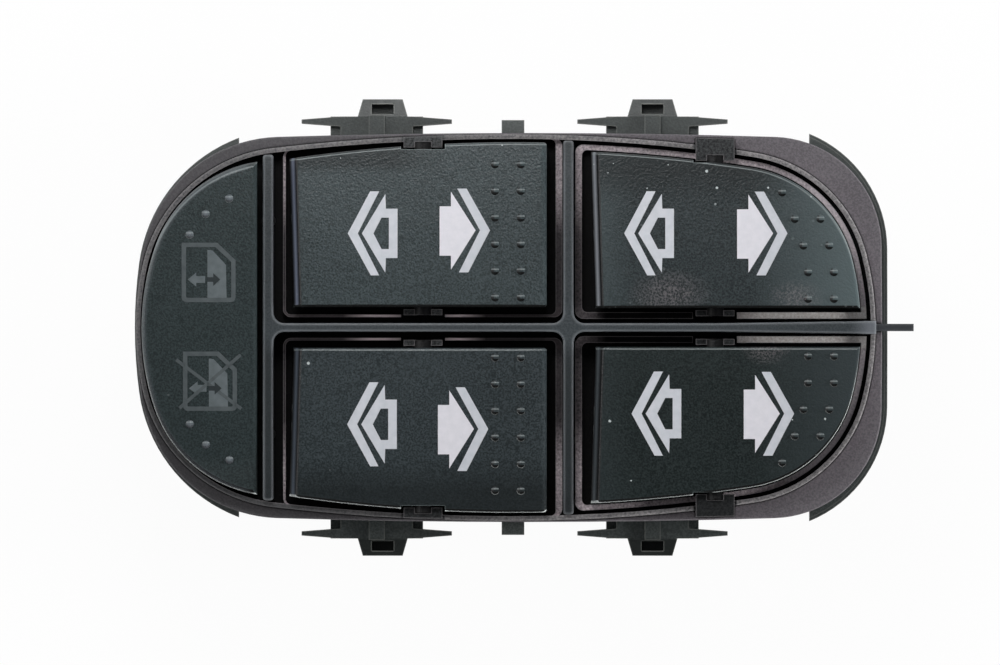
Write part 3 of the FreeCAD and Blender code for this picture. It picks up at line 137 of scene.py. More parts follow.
# %% [markdown]
# ## A small kit for node materials
# Most finishes here are moulded plastic with a grain, so one helper adds nodes and one
# helper joins them. Texture space is object space: a rocker's grain tilts with it.

# %% Node helpers
# The mix node has its own sockets for each kind of value; these are the ones for colours.
MIX_SHARE, MIX_FIRST, MIX_SECOND, MIX_RESULT = 0, 6, 7, 2


class Finish:
    """Node material that is built one short line at a time."""

    def __init__(self, name):
        self.material = bpy.data.materials.new(name)
        self.material.use_nodes = True
        self.tree = self.material.node_tree
        self.shader = self.tree.nodes["Principled BSDF"]
        space = self.add("ShaderNodeTexCoord")
        self.place = space.outputs["Object"]
        spot = self.add("ShaderNodeSeparateXYZ", {"Vector": self.place})
        self.x, self.y, self.z = spot.outputs[0], spot.outputs[1], spot.outputs[2]
        facing = self.add("ShaderNodeSeparateXYZ", {"Vector": space.outputs["Normal"]})
        self.face_x, self.face_y, self.face_z = facing.outputs

    def add(self, kind, inputs=None, **settings):
        """Add a node, set its options, and link or set its inputs."""
        node = self.tree.nodes.new(kind)
        for key, value in settings.items():
            setattr(node, key, value)
        for key, value in (inputs or {}).items():
            self.feed(node.inputs[key], value)
        return node

    def feed(self, socket, value):
        """Link an output to a socket, or set its value."""
        if isinstance(value, bpy.types.NodeSocket):
            self.tree.links.new(value, socket)
        else:
            socket.default_value = value

    def noise(self, scale, detail=4.0, roughness=0.55):
        """Cloudy noise in object space."""
        inputs = {"Vector": self.place, "Scale": scale, "Detail": detail, "Roughness": roughness}
        return self.add("ShaderNodeTexNoise", inputs).outputs["Fac"]

    def cells(self, scale, feature="F1"):
        """Cell pattern in object space."""
        return self.add("ShaderNodeTexVoronoi", {"Vector": self.place, "Scale": scale},
                        feature=feature)

    def ramp(self, value, low, high, start=0.0, stop=1.0):
        """Map a range of values to another range."""
        node = self.add("ShaderNodeMapRange", {
            "Value": value, "From Min": low, "From Max": high, "To Min": start, "To Max": stop,
        })
        return node.outputs["Result"]

    def maths(self, operation, first, second=0.0):
        """Plain arithmetic on two values."""
        return self.add("ShaderNodeMath", {0: first, 1: second}, operation=operation).outputs[0]

    def both(self, *shares):
        """Product of several shares."""
        result = shares[0]
        for share in shares[1:]:
            result = self.maths("MULTIPLY", result, share)
        return result

    def band(self, value, low, high, soft):
        """One between two limits, zero outside, with soft ends."""
        rise = self.ramp(value, low - soft, low + soft)
        fall = self.ramp(value, high - soft, high + soft, 1.0, 0.0)
        return self.both(rise, fall)

    def blend(self, share, first, second):
        """Mix two colours."""
        node = self.add("ShaderNodeMix", data_type="RGBA")
        self.feed(node.inputs[MIX_SHARE], share)
        self.feed(node.inputs[MIX_FIRST], first)
        self.feed(node.inputs[MIX_SECOND], second)
        return node.outputs[MIX_RESULT]


def tone(red, green, blue):
    """Screen colour, 0 to 255, as the linear colour that a shader wants."""
    def linear(value):
        value /= 255.0
        return value / 12.92 if value <= 0.04045 else ((value + 0.055) / 1.055) ** 2.4
    return (linear(red), linear(green), linear(blue), 1.0)


# %% [markdown]
# ## Moulded plastic with grain
# Interior plastic is etched in the mould: a fine pebble, about a quarter of a millimetre,
# breaks up the gloss. Handling adds cloudy patches, and dust settles as pale specks. Small
# functions make each of these, and each piece picks its colours and how strong they are.
# Edges get a painted highlight: rays sent into the plastic leave it again near an edge, so an
# occlusion node turned inwards finds every edge without any painting by hand.

# %% Moulded plastic
# Scales count the pattern's cells in a metre; lengths are in metres. A span is the part
# of a noise's range that is used: the wider the span, the softer the pattern.
FINE = 3600.0
CLOUD_SCALE = 75.0
GLOSS_SCALE = 900.0
NOISE_SPAN = (0.3, 0.7)
FLICKER_SPAN = (0.40, 0.60)
GLOSS_SPAN = (0.2, 0.8)
CLOUD_SHARE, FLICKER_SHARE = 0.2, 0.8
GLOSS_SWING = 0.05
SPECK_SCALE = 620.0
SPECK_SIZE = 0.14
PEBBLE_DEPTH = 0.00008
EDGE_RAYS = 8
EDGE_START, EDGE_FULL = 0.95, 0.55
MOULDED_EDGE_REACH = 0.00022
DUST_COLOUR = tone(188, 196, 196)


def painted_edge_highlight(finish, reach, strength):
    """Share of painted highlight at a spot: strength on a sharp edge, 0 on a flat."""
    inside = finish.add("ShaderNodeAmbientOcclusion", {"Distance": reach}, samples=EDGE_RAYS,
                        inside=True)
    return finish.ramp(inside.outputs["AO"], EDGE_START, EDGE_FULL, 0.0, strength)


def dust_specks(finish, density, where):
    """Small pale specks, one at most in each cell of the pattern."""
    spots = finish.cells(SPECK_SCALE)
    rarity = finish.add("ShaderNodeSeparateColor", {"Color": spots.outputs["Color"]})
    reach = finish.ramp(rarity.outputs["Red"], 1.0 - density, 1.0, 0.0, SPECK_SIZE)
    speck = finish.maths("LESS_THAN", spots.outputs["Distance"], reach)
    return finish.both(speck, where)


def grain(finish, strength, scale=FINE):
    """Pebble of the mould as bump."""
    pebble = finish.cells(scale, "SMOOTH_F1").outputs["Distance"]
    relief = finish.maths("ADD", pebble, finish.noise(scale * 0.6, 2.0))
    bump = finish.add("ShaderNodeBump", {"Height": relief, "Strength": strength,
                                         "Distance": PEBBLE_DEPTH})
    finish.feed(finish.shader.inputs["Normal"], bump.outputs["Normal"])


def mottled(finish, colour, shade):
    """Colour that drifts in patches and flickers with the grain."""
    clouds = finish.ramp(finish.noise(CLOUD_SCALE, 3.0), *NOISE_SPAN)
    flicker = finish.ramp(finish.noise(FINE, 2.0), *FLICKER_SPAN)
    share = finish.maths("ADD", finish.both(clouds, CLOUD_SHARE),
                         finish.both(flicker, FLICKER_SHARE))
    return finish.blend(share, shade, colour)


def uneven_gloss(finish, low, high):
    """Roughness that drifts between two values."""
    return finish.ramp(finish.noise(GLOSS_SCALE, 2.0), *GLOSS_SPAN, low, high)


def moulded(name, colour, shade, roughness, relief, edge=None):
    """Plastic with cloudy colour, pebble grain and, if asked, a painted highlight on its edges.
    """
    finish = Finish(name)
    base = mottled(finish, colour, shade)
    # The edge colour is a painted highlight on the edges.
    if edge is not None:
        base = finish.blend(painted_edge_highlight(finish, MOULDED_EDGE_REACH, 0.9), base, edge)
    finish.feed(finish.shader.inputs["Base Color"], base)
    finish.feed(finish.shader.inputs["Roughness"],
                uneven_gloss(finish, roughness - GLOSS_SWING, roughness + GLOSS_SWING))
    grain(finish, relief)
    return finish.material


# Where a piece has a third colour, it is the painted highlight on its edges.
MOULDED = {
    "lower_case": moulded("case_plastic", tone(50, 52, 54), tone(40, 42, 44), 0.50, 0.30,
                          tone(80, 82, 84)),
    "slider": moulded("slider_plastic", tone(222, 220, 210), tone(200, 198, 188), 0.40, 0.20),
    "pin_header": moulded("header_plastic", tone(42, 42, 44), tone(32, 32, 34), 0.50, 0.20,
                          tone(70, 70, 72)),
    "lamp": moulded("lamp_body", tone(234, 232, 218), tone(218, 216, 202), 0.20, 0.10),
    "circuit_board": moulded("board_mask", tone(28, 86, 50), tone(20, 68, 40), 0.30, 0.15),
}
print("moulded finishes:", len(MOULDED))

# %% [markdown]
# ## Ribs
# The ribs get painted shade on the near side, they are pale at the right end of the long one,
# and their edges carry a painted highlight. The blade beyond that end stays dark, and the ribs'
# feet get painted shade.

# %% Rib finish
# Each pair gives the place where an effect starts and the place where it is full.
NEAR_DIVIDER_SHADE = (-0.0015, -0.0050)
RIB_PALE_END = (0.0505, 0.0535)
RIB_FOOT_SHADE = (0.0345, 0.0335)
RIB_FOOT_SHADE_END = (0.0545, 0.0535)
BLADE_ROOT = (0.0543, 0.0547)
RIB_EDGE_REACH = 0.0005


def rib_plastic():
    """Rib finish: painted shade on the near dividers and feet, pale rib end, painted edge
    highlight.
    """
    finish = Finish("rib_plastic")
    base = mottled(finish, tone(68, 74, 77), tone(50, 55, 58))
    # Painted shade on the near dividers.
    near = finish.both(finish.ramp(finish.y, *NEAR_DIVIDER_SHADE), 0.6)
    base = finish.blend(near, base, tone(36, 40, 41))
    end = finish.both(finish.ramp(finish.x, *RIB_PALE_END), 0.9)
    base = finish.blend(end, base, tone(106, 110, 116))
    # Painted highlight on the edges.
    edges = painted_edge_highlight(finish, RIB_EDGE_REACH, 0.9)
    base = finish.blend(edges, base, tone(140, 144, 148))
    # Painted shade at the ribs' feet.
    foot_shade = finish.both(finish.ramp(finish.z, *RIB_FOOT_SHADE), finish.ramp(finish.x, *RIB_FOOT_SHADE_END))
    base = finish.blend(foot_shade, base, tone(20, 21, 22))
    blade = finish.both(finish.ramp(finish.x, *BLADE_ROOT), 0.75)
    base = finish.blend(blade, base, tone(30, 31, 32))
    finish.feed(finish.shader.inputs["Base Color"], base)
    finish.feed(finish.shader.inputs["Roughness"], uneven_gloss(finish, 0.38, 0.46))
    grain(finish, 0.25)
    return finish.material


rib_finish = rib_plastic()
print("rib finish:", rib_finish.name)

# %% [markdown]
# ## Rocker caps
# Each cap is the same plastic, but light falls on it differently, and that light and shade is
# painted into the colours: the far pair is paler than the near pair, and the big right caps
# darken in the middle and clear towards their ends. The left bevels have a painted highlight on
# their crest, and the front left one a violet cast. The far edges carry a painted highlight,
# and the near ones end in a thin painted highlight line.

# %% Effects on a cap
LEFT_HINGE, RIGHT_HINGE = -0.0135, 0.0303
HINGE_STUB = (0.0026, 0.0024)
HINGE_STUB_TOP = (0.0352, 0.0349)
END_FADE_LEFT, END_FADE_RIGHT = 0.006, 0.016
END_SHARE_LEFT = 0.35
STRIP_FADE = 0.008
BEVEL_LEAN = 0.0297
BEVEL_STEEP = (-0.20, -0.40)
CREST_BEFORE, CREST_AFTER, CREST_SOFT = 0.0001, 0.0003, 0.0002
GLARE_STRETCH = 1.6
SPARKLE_SPAN = (0.44, 0.64)
LIT_SLOPE = (0.20, 0.46)
DARK_SLOPE = (-0.16, -0.26)
SLOPE_SOFT = 0.06
RIM_PLACE = (-0.0392, -0.0402)
ROUNDED_EDGE = (0.15, 0.66)
FACING_NEAR = (-0.10, -0.25)
STUD_GUARD = (0.0009, 0.0011)
ROUNDED_REACH = 0.0007
SHARP_REACH = 0.00015


def distance_from(finish, x, y, stretch=1.0):
    """Distance of a spot from a place on the panel, with y counted stretch times."""
    across = finish.maths("SUBTRACT", finish.x, x)
    along = finish.both(finish.maths("SUBTRACT", finish.y, y), stretch)
    squares = finish.maths("ADD", finish.maths("POWER", across, 2.0),
                           finish.maths("POWER", along, 2.0))
    return finish.maths("SQRT", squares)


def painted_sheen_at_ends(finish, base, left, right, colour):
    """Painted sheen that grows towards the left and right end of a cap."""
    toward = finish.maths(
        "MAXIMUM", finish.ramp(finish.x, left + END_FADE_LEFT, left, 0.0, END_SHARE_LEFT),
        finish.ramp(finish.x, right - END_FADE_RIGHT, right))
    return finish.blend(toward, base, colour)


def painted_shade_strip(finish, base, start, end, right):
    """Painted shade in a strip along a long edge: it grows from start to end and fades out at
    right.
    """
    strip = finish.both(finish.ramp(finish.y, start, end),
                        finish.ramp(finish.x, right, right - STRIP_FADE))
    return finish.blend(finish.both(strip, 0.7), base, tone(20, 25, 26))


def lit_bevel(finish, base, crest, colour):
    """Bevel in painted shade, with a painted highlight on its crest, which leans as the cap's
    left side does.
    """
    lean = finish.both(finish.maths("ABSOLUTE", finish.y), BEVEL_LEAN)
    across = finish.maths("ADD", finish.x, lean)
    strip = finish.band(across, crest - CREST_BEFORE, crest + CREST_AFTER, CREST_SOFT)
    steep_shade = finish.ramp(finish.face_x, *BEVEL_STEEP)
    base = finish.blend(steep_shade, base, tone(10, 11, 13))
    return finish.blend(finish.both(steep_shade, strip), base, colour)


def sparkling_patch(finish, base, x, y, reach):
    """Speckled glare around a place."""
    away = distance_from(finish, x, y, GLARE_STRETCH)
    sparkle = finish.ramp(finish.noise(FINE, 3.0, 0.7), *SPARKLE_SPAN)
    lit = finish.both(finish.ramp(away, reach, 0.0), sparkle, 0.7)
    return finish.blend(lit, base, tone(136, 128, 130))


def lit_and_dark_slopes(finish, base, top):
    """Studs: painted highlight on their far slope, painted shadow on their near one."""
    lit = finish.both(finish.band(finish.face_y, *LIT_SLOPE, SLOPE_SOFT), top, 0.6)
    base = finish.blend(lit, base, tone(132, 140, 140))
    dark = finish.both(finish.ramp(finish.face_y, *DARK_SLOPE), top)
    return finish.blend(dark, base, tone(1, 1, 1))


def broad_rim(finish, base, top, colour):
    """Broad painted highlight along the left edge of the crescent."""
    wide = finish.both(painted_edge_highlight(finish, ROUNDED_REACH, 0.8), finish.ramp(finish.x, *RIM_PLACE))
    return finish.blend(finish.both(wide, top), base, colour)


def near_edge_line(finish, base, studs):
    """Thin painted highlight line on the rounded near edge, kept off the studs at these places.
    """
    rounding = painted_edge_highlight(finish, ROUNDED_REACH, 2.2)
    outward = finish.both(finish.band(finish.face_z, *ROUNDED_EDGE, SLOPE_SOFT),
                          finish.ramp(finish.face_y, *FACING_NEAR))
    for x, y in studs:
        beside = finish.ramp(distance_from(finish, x, y), *STUD_GUARD)
        outward = finish.both(outward, beside)
    return finish.blend(finish.both(outward, rounding, 0.8), base, tone(236, 242, 240))


def painted_hinge_shade(finish, base, hinge):
    """Painted shade on the hinge stubs at the long sides of a cap."""
    offset = finish.maths("ABSOLUTE", finish.maths("SUBTRACT", finish.x, hinge))
    stub = finish.both(finish.ramp(offset, *HINGE_STUB), finish.ramp(finish.z, *HINGE_STUB_TOP))
    return finish.blend(stub, base, tone(6, 6, 7))


print("hinges:", LEFT_HINGE, RIGHT_HINGE)

# %% [markdown]
# ## One finish a cap
# The effects are laid over each other in a fixed order: tints of the face first, most of them
# painted light and shade, then painted light and shade on slopes and edges, then painted shade
# on the walls, and dust last. A cap names only what it shows.

# %% Rocker finishes
CAP_TOP, LOCKOUT_TOP = 0.0338, 0.0322
WALL_FADE = 0.0007
WALL_ROUGH = (0.0350, 0.0344)
SLOPE_ROUGH = (-0.15, -0.32)
DUST_BEFORE, DUST_AFTER = 0.003, 0.001
# Colours of the painted highlight on the edges of the far caps and of the near caps.
FAR_EDGE_HIGHLIGHT = tone(146, 158, 158)
NEAR_EDGE_HIGHLIGHT = tone(120, 130, 130)
LEFT_CREST, RIGHT_CREST = -0.03235, 0.01280
RIGHT_CAP_ENDS = (0.0124, 0.0515)
FRONT_RIGHT_GLARE = ((0.0235, 0.0050, 0.0065), (0.0425, 0.0045, 0.0045))
REAR_RIGHT_GLARE = ((0.0380, -0.0032, 0.0040),)
NEAR_LOCKOUT_STUDS = ((-0.0485, -0.0145), (-0.0460, -0.0176), (-0.0426, -0.0199))


def rocker_plastic(name, colour, shade, edge, dust, dust_from, ends=None, end_sheen=None,
                   strip=None, crest=None, bevel=None, glare=(), hinge=None, near_line=False,
                   rim=None, lowest=CAP_TOP, studs=()):
    """Cap plastic with the effects that are named."""
    finish = Finish(name)
    base = mottled(finish, colour, shade)
    top = finish.ramp(finish.z, lowest, lowest + WALL_FADE)
    if ends:
        base = painted_sheen_at_ends(finish, base, *ends, end_sheen)
    if strip:
        base = painted_shade_strip(finish, base, *strip)
    if crest:
        base = lit_bevel(finish, base, crest, bevel)
    for x, y, reach in glare:
        base = sparkling_patch(finish, base, x, y, reach)
    base = lit_and_dark_slopes(finish, base, top)
    if rim:
        base = broad_rim(finish, base, top, rim)
    # Painted highlight on the sharp edges of the top.
    line = finish.both(painted_edge_highlight(finish, SHARP_REACH, 0.7), top)
    base = finish.blend(line, base, edge)
    # The walls below the top are painted near black: painted shade.
    base = finish.blend(top, tone(7, 8, 9), base)
    if near_line:
        base = near_edge_line(finish, base, studs)
    if hinge:
        base = painted_hinge_shade(finish, base, hinge)
    dusty = finish.ramp(finish.y, dust_from - DUST_BEFORE, dust_from + DUST_AFTER, 0.1, 1.0)
    specks = dust_specks(finish, dust, finish.both(dusty, top))
    base = finish.blend(specks, base, DUST_COLOUR)
    finish.feed(finish.shader.inputs["Base Color"], base)
    gloss = uneven_gloss(finish, 0.38, 0.46)
    gloss = finish.maths("ADD", gloss, finish.ramp(finish.z, *WALL_ROUGH, 0.0, 0.4))
    gloss = finish.maths("ADD", gloss, finish.ramp(finish.face_y, *SLOPE_ROUGH, 0.0, 0.4))
    finish.feed(finish.shader.inputs["Roughness"], gloss)
    grain(finish, 0.55)
    return finish.material


# The caps' own colours carry painted light and shade: the far caps are lighter, the near caps
# darker.
ROCKER_FINISHES = {
    "window_rocker_front_left": rocker_plastic(
        "cap_front_left", tone(68, 78, 80), tone(36, 44, 46), FAR_EDGE_HIGHLIGHT, 0.10, 0.021,
        strip=(0.0228, 0.0246, -0.010), crest=LEFT_CREST, bevel=tone(112, 119, 136),
        hinge=LEFT_HINGE),
    "window_rocker_rear_left": rocker_plastic(
        "cap_rear_left", tone(60, 68, 71), tone(28, 35, 37), NEAR_EDGE_HIGHLIGHT, 0.05, -0.006,
        strip=(-0.0195, -0.0245, 0.030), crest=LEFT_CREST, bevel=tone(74, 82, 92),
        hinge=LEFT_HINGE, near_line=True),
    "window_rocker_front_right": rocker_plastic(
        "cap_front_right", tone(54, 62, 64), tone(24, 31, 33), FAR_EDGE_HIGHLIGHT, 1.0, 0.020,
        ends=RIGHT_CAP_ENDS, end_sheen=tone(84, 96, 98), strip=(0.0185, 0.0232, 0.044),
        crest=RIGHT_CREST, bevel=tone(142, 146, 152), glare=FRONT_RIGHT_GLARE,
        hinge=RIGHT_HINGE),
    "window_rocker_rear_right": rocker_plastic(
        "cap_rear_right", tone(41, 49, 49), tone(14, 22, 22), NEAR_EDGE_HIGHLIGHT, 0.12, -0.026,
        ends=RIGHT_CAP_ENDS, end_sheen=tone(52, 60, 62), crest=RIGHT_CREST,
        bevel=tone(70, 76, 80), glare=REAR_RIGHT_GLARE, hinge=RIGHT_HINGE, near_line=True),
    "lockout_rocker": rocker_plastic(
        "cap_lockout", tone(52, 62, 63), tone(30, 38, 39), NEAR_EDGE_HIGHLIGHT, 0.04, 0.018,
        near_line=True, rim=tone(160, 168, 176), lowest=LOCKOUT_TOP, studs=NEAR_LOCKOUT_STUDS),
}
print("rocker finishes:", len(ROCKER_FINISHES))

# %% [markdown]
# ## The bezel by level
# The bezel is one moulding, yet its levels look different: the trough around the caps is in
# painted shade, the band is a matt violet grey, the collars are pale with painted light and
# shade, and the rim has a coarser pebble. The height of a spot, counted from the switch's lowest
# face, tells its level.

# %% Levels and places of the bezel
# Lengths are in metres. A pair gives where an effect starts and where it is full, but the
# places of the painted fork shadow and of the painted glints are stretches beside the rib, from
# their left to their right.
BAND_LEVEL = 0.03075
COLLAR_LEVEL = 0.03130
RIM_LEVEL = 0.03200
LEFT_SHADE = (0.030, -0.040)
NEAR_LEFT_X, NEAR_LEFT_Y = (0.000, -0.030), (0.0, -0.02)
GROOVE_REACH = 0.0004
GROOVE_OPEN = (0.92, 0.60)
GROOVE_TOP = (0.0300, 0.0306)
ALONG_RIB = (0.0036, 0.0030)
SHADED_SPAN, SHADED_RIGHT = (0.021, 0.014), (0.040, 0.032)
SHADE_STEP = (0.0075, 0.0095)
SHADE_LEFT, SHADE_RIGHT = 0.89, 0.79
LIT_LEDGE_RIGHT = (0.031, 0.037)
FORK_SHADOW_PLACE = (0.012, 0.031)
LEFT_LEDGE = (0.0085, 0.0070)
FORK_GLINTS = ((-0.0235, -0.0172), (-0.0102, -0.0060))
PLACE_SOFT = 0.002
RIGHT_ARC_X, RIGHT_ARC_SPAN = (0.040, 0.046), (0.0030, 0.0036)
MIDDLE_SPAN, MIDDLE_X = (0.0278, 0.0284), (0.034, 0.020)
RIM_LEFT = (0.0, -0.04)
FORK_HALF = (0.0034, 0.0031)
FORK_FOOT = (0.0316, 0.0318)
FORK_NEAR = (0.01, -0.01)
BEZEL_EDGE_REACH = 0.00018
COARSE_SCALE = 2600.0
BEZEL_GRAIN_SCALE = 3200.0
BEZEL_SHINE = 0.18
print("levels of the bezel:", BAND_LEVEL, COLLAR_LEVEL, RIM_LEVEL)

# %% Tones of the bezel


def bezel_band(finish, near_left):
    """Matt band with painted shade to the left and a dark groove line painted as shade at a
    wall's foot.
    """
    base = mottled(finish, tone(116, 112, 116), tone(96, 92, 96))
    # Painted shade towards the left.
    left = finish.both(finish.ramp(finish.x, *LEFT_SHADE), 0.5)
    base = finish.blend(left, base, tone(70, 72, 72))
    base = finish.blend(finish.both(near_left, 0.3), base, tone(50, 51, 51))
    # Painted shade: an occlusion node darkens the band at the foot of each wall.
    foot_shade = finish.add("ShaderNodeAmbientOcclusion", {"Distance": GROOVE_REACH},
                      samples=EDGE_RAYS)
    groove = finish.both(finish.ramp(foot_shade.outputs["AO"], *GROOVE_OPEN),
                         finish.ramp(finish.z, *GROOVE_TOP))
    return finish.blend(groove, base, tone(10, 10, 11))


def bezel_collar(finish, coarse, span):
    """Collar and ledges: pale, with painted shade at the middle, painted light brightest along
    the rib.
    """
    base = finish.blend(coarse, tone(118, 110, 115), tone(216, 204, 208))
    # Painted shade on the collar at the middle of the long sides.
    shaded = finish.both(finish.ramp(span, *SHADED_SPAN), finish.ramp(finish.x, *SHADED_RIGHT))
    depth = finish.ramp(finish.x, *SHADE_STEP, SHADE_LEFT, SHADE_RIGHT)
    base = finish.blend(finish.both(shaded, depth), base, tone(22, 22, 24))
    along_rib = finish.ramp(span, *ALONG_RIB)
    # Painted light on the ledge along the rib, right of the fork.
    lit_ledge = finish.both(along_rib, finish.ramp(finish.x, *LIT_LEDGE_RIGHT))
    ledge_light = finish.blend(coarse, tone(214, 206, 202), tone(255, 252, 250))
    base = finish.blend(lit_ledge, base, ledge_light)
    # Painted shadow of the right fork on the ledge to its left.
    fork_shadow = finish.both(finish.band(finish.x, *FORK_SHADOW_PLACE, PLACE_SOFT), along_rib)
    base = finish.blend(fork_shadow, base, tone(5, 5, 6))
    # Painted light on the left ledges along the rib, over the painted shade.
    left = finish.both(finish.ramp(finish.x, *LEFT_LEDGE), along_rib)
    base = finish.blend(finish.both(left, 0.5), base, tone(84, 76, 78))
    glints = [finish.band(finish.x, *place, PLACE_SOFT) for place in FORK_GLINTS]
    glint = finish.both(finish.maths("MAXIMUM", *glints), along_rib)
    base = finish.blend(glint, base, tone(250, 232, 236))
    # Painted light on the collar along the right arc.
    right_arc_light = finish.both(finish.ramp(finish.x, *RIGHT_ARC_X),
                            finish.ramp(span, *RIGHT_ARC_SPAN))
    pale = finish.blend(coarse, tone(200, 190, 196), tone(250, 240, 244))
    return finish.blend(right_arc_light, base, pale)


def bezel_rim(finish, coarse, span, near_left):
    """Coarse rim, with painted shade at the middle of the long sides and to the left."""
    base = finish.blend(coarse, tone(84, 84, 86), tone(162, 158, 158))
    aside = finish.maths("ABSOLUTE", finish.x)
    # Painted shade at the middle of the long sides.
    middle = finish.both(finish.ramp(span, *MIDDLE_SPAN), finish.ramp(aside, *MIDDLE_X))
    base = finish.blend(finish.both(middle, 0.30), base, tone(58, 58, 60))
    base = finish.blend(finish.both(near_left, 0.7), base, tone(54, 54, 55))
    left = finish.both(finish.ramp(finish.x, *RIM_LEFT), 0.4)
    return finish.blend(left, base, tone(70, 72, 74))


def fork_tone(finish, base, coarse, hinge, light):
    """Dark hinge forks at one hinge, with painted shade on the near side."""
    offset = finish.maths("ABSOLUTE", finish.maths("SUBTRACT", finish.x, hinge))
    fork = finish.both(finish.ramp(offset, *FORK_HALF), finish.ramp(finish.z, *FORK_FOOT))
    dark = finish.blend(coarse, tone(18, 19, 20), light)
    # Painted shade on the near side of the fork.
    near = finish.both(finish.ramp(finish.y, *FORK_NEAR), 0.7)
    dark = finish.blend(near, dark, tone(16, 17, 18))
    return finish.blend(fork, base, dark)


def above(finish, level):
    """One above a level, zero below it."""
    return finish.maths("GREATER_THAN", finish.z, level)


# %% Bezel finish


def bezel_plastic():
    """Bezel finish with a tone for each level of the moulding."""
    finish = Finish("bezel_plastic")
    coarse = finish.ramp(finish.noise(COARSE_SCALE, 3.0, 0.7), *NOISE_SPAN)
    span = finish.maths("ABSOLUTE", finish.y)
    near_left = finish.both(finish.ramp(finish.x, *NEAR_LEFT_X),
                            finish.ramp(finish.y, *NEAR_LEFT_Y))
    band = bezel_band(finish, near_left)
    collar = bezel_collar(finish, coarse, span)
    rim = bezel_rim(finish, coarse, span, near_left)
    # Below the band level, the trough is painted near black: painted shade.
    base = finish.blend(above(finish, BAND_LEVEL), tone(3, 3, 4), band)
    base = finish.blend(above(finish, COLLAR_LEVEL), base, collar)
    base = finish.blend(above(finish, RIM_LEVEL), base, rim)
    base = fork_tone(finish, base, coarse, LEFT_HINGE, tone(98, 100, 101))
    base = fork_tone(finish, base, coarse, RIGHT_HINGE, tone(78, 80, 81))
    # Painted highlight on the edges above the trough.
    edge = finish.both(painted_edge_highlight(finish, BEZEL_EDGE_REACH, 0.45), above(finish, BAND_LEVEL))
    base = finish.blend(edge, base, tone(146, 142, 144))
    finish.feed(finish.shader.inputs["Base Color"], base)
    finish.feed(finish.shader.inputs["Roughness"], finish.ramp(coarse, 0.0, 1.0, 0.46, 0.60))
    finish.shader.inputs["Specular IOR Level"].default_value = BEZEL_SHINE
    grain(finish, 0.35, BEZEL_GRAIN_SCALE)
    return finish.material


bezel_finish = bezel_plastic()
print("bezel finish:", bezel_finish.name)

# %% [markdown]
# ## The carrier
# The carrier shows as the clips and tabs beyond the bezel and as the skirt below it. It is
# painted paler towards the light, its clip tongues get painted shade, most of all the near
# ones, and so does its low skirt under the bezel.

# %% Carrier finish
CARRIER_FAR = (-0.030, 0.030)
TONGUE_SPAN = (0.0316, 0.0320)
NEAR_SIDE = (0.001, -0.001)
RIGHT_FAR = (0.034, 0.038)
LOW_PART = (0.0285, 0.0275)
TONGUE_SHARE_FAR, TONGUE_SHARE_NEAR = 0.45, 0.85
LOW_SHARE_FAR, LOW_SHARE_NEAR = 0.25, 0.10


def carrier_plastic():
    """Carrier finish: painted light far side, painted shade on tongues and skirt, painted edge
    highlight.
    """
    finish = Finish("carrier_plastic")
    base = mottled(finish, tone(84, 89, 88), tone(62, 67, 66))
    far = finish.ramp(finish.y, *CARRIER_FAR)
    near = finish.ramp(finish.y, *NEAR_SIDE)
    # Painted light towards the far side.
    base = finish.blend(finish.both(far, 0.3), base, tone(104, 107, 106))
    # Painted shade on the clip tongues, deeper on the near ones.
    tongues = finish.ramp(finish.maths("ABSOLUTE", finish.y), *TONGUE_SPAN)
    share = finish.ramp(near, 0.0, 1.0, TONGUE_SHARE_FAR, TONGUE_SHARE_NEAR)
    tongue_shade = finish.blend(near, tone(40, 44, 42), tone(22, 26, 24))
    base = finish.blend(finish.both(tongues, share), base, tongue_shade)
    right_far = finish.both(finish.ramp(finish.x, *RIGHT_FAR), far)
    base = finish.blend(finish.both(right_far, 0.35), base, tone(40, 44, 44))
    # Painted shade on the low skirt under the bezel.
    low_share = finish.ramp(near, 0.0, 1.0, LOW_SHARE_FAR, LOW_SHARE_NEAR)
    low = finish.both(finish.ramp(finish.z, *LOW_PART), low_share)
    base = finish.blend(low, base, tone(30, 33, 33))
    # Painted highlight on the edges.
    edges = painted_edge_highlight(finish, MOULDED_EDGE_REACH, 0.7)
    base = finish.blend(edges, base, tone(122, 124, 120))
    finish.feed(finish.shader.inputs["Base Color"], base)
    finish.feed(finish.shader.inputs["Roughness"], uneven_gloss(finish, 0.42, 0.54))
    grain(finish, 0.30)
    return finish.material


carrier_finish = carrier_plastic()
print("carrier finish:", carrier_finish.name)

# %% [markdown]
# ## Springs and contacts
# Strip metal shows fine drawn lines, so its noise is stretched along one axis.

# %% Strip metal
DRAWN_STRETCH = (90, 900, 900)
DRAWN_SCALE = 6.0
METAL_SWING = 0.08


def strip_metal(name, colour, shade, roughness):
    """Drawn strip with fine lines."""
    finish = Finish(name)
    stretched = finish.add("ShaderNodeMapping", {"Vector": finish.place, "Scale": DRAWN_STRETCH})
    lines = finish.add("ShaderNodeTexNoise", {"Vector": stretched.outputs["Vector"],
                                              "Scale": DRAWN_SCALE, "Detail": 3.0})
    drawn = lines.outputs["Fac"]
    finish.feed(finish.shader.inputs["Base Color"], finish.blend(drawn, shade, colour))
    finish.shader.inputs["Metallic"].default_value = 1.0
    finish.feed(finish.shader.inputs["Roughness"],
                finish.ramp(drawn, *NOISE_SPAN, roughness - METAL_SWING,
                            roughness + METAL_SWING))
    return finish.material


steel_finish = strip_metal("spring_strip", tone(205, 205, 208), tone(160, 160, 165), 0.32)
brass_finish = strip_metal("contact_strip", tone(222, 190, 120), tone(180, 145, 85), 0.30)
print("metals:", steel_finish.name, brass_finish.name)

# %% [markdown]
# ## Every solid gets its finish
# A node's name starts with the kind of piece it is, and each kind has one finish. Only
# the slots are filled, no mesh changes.

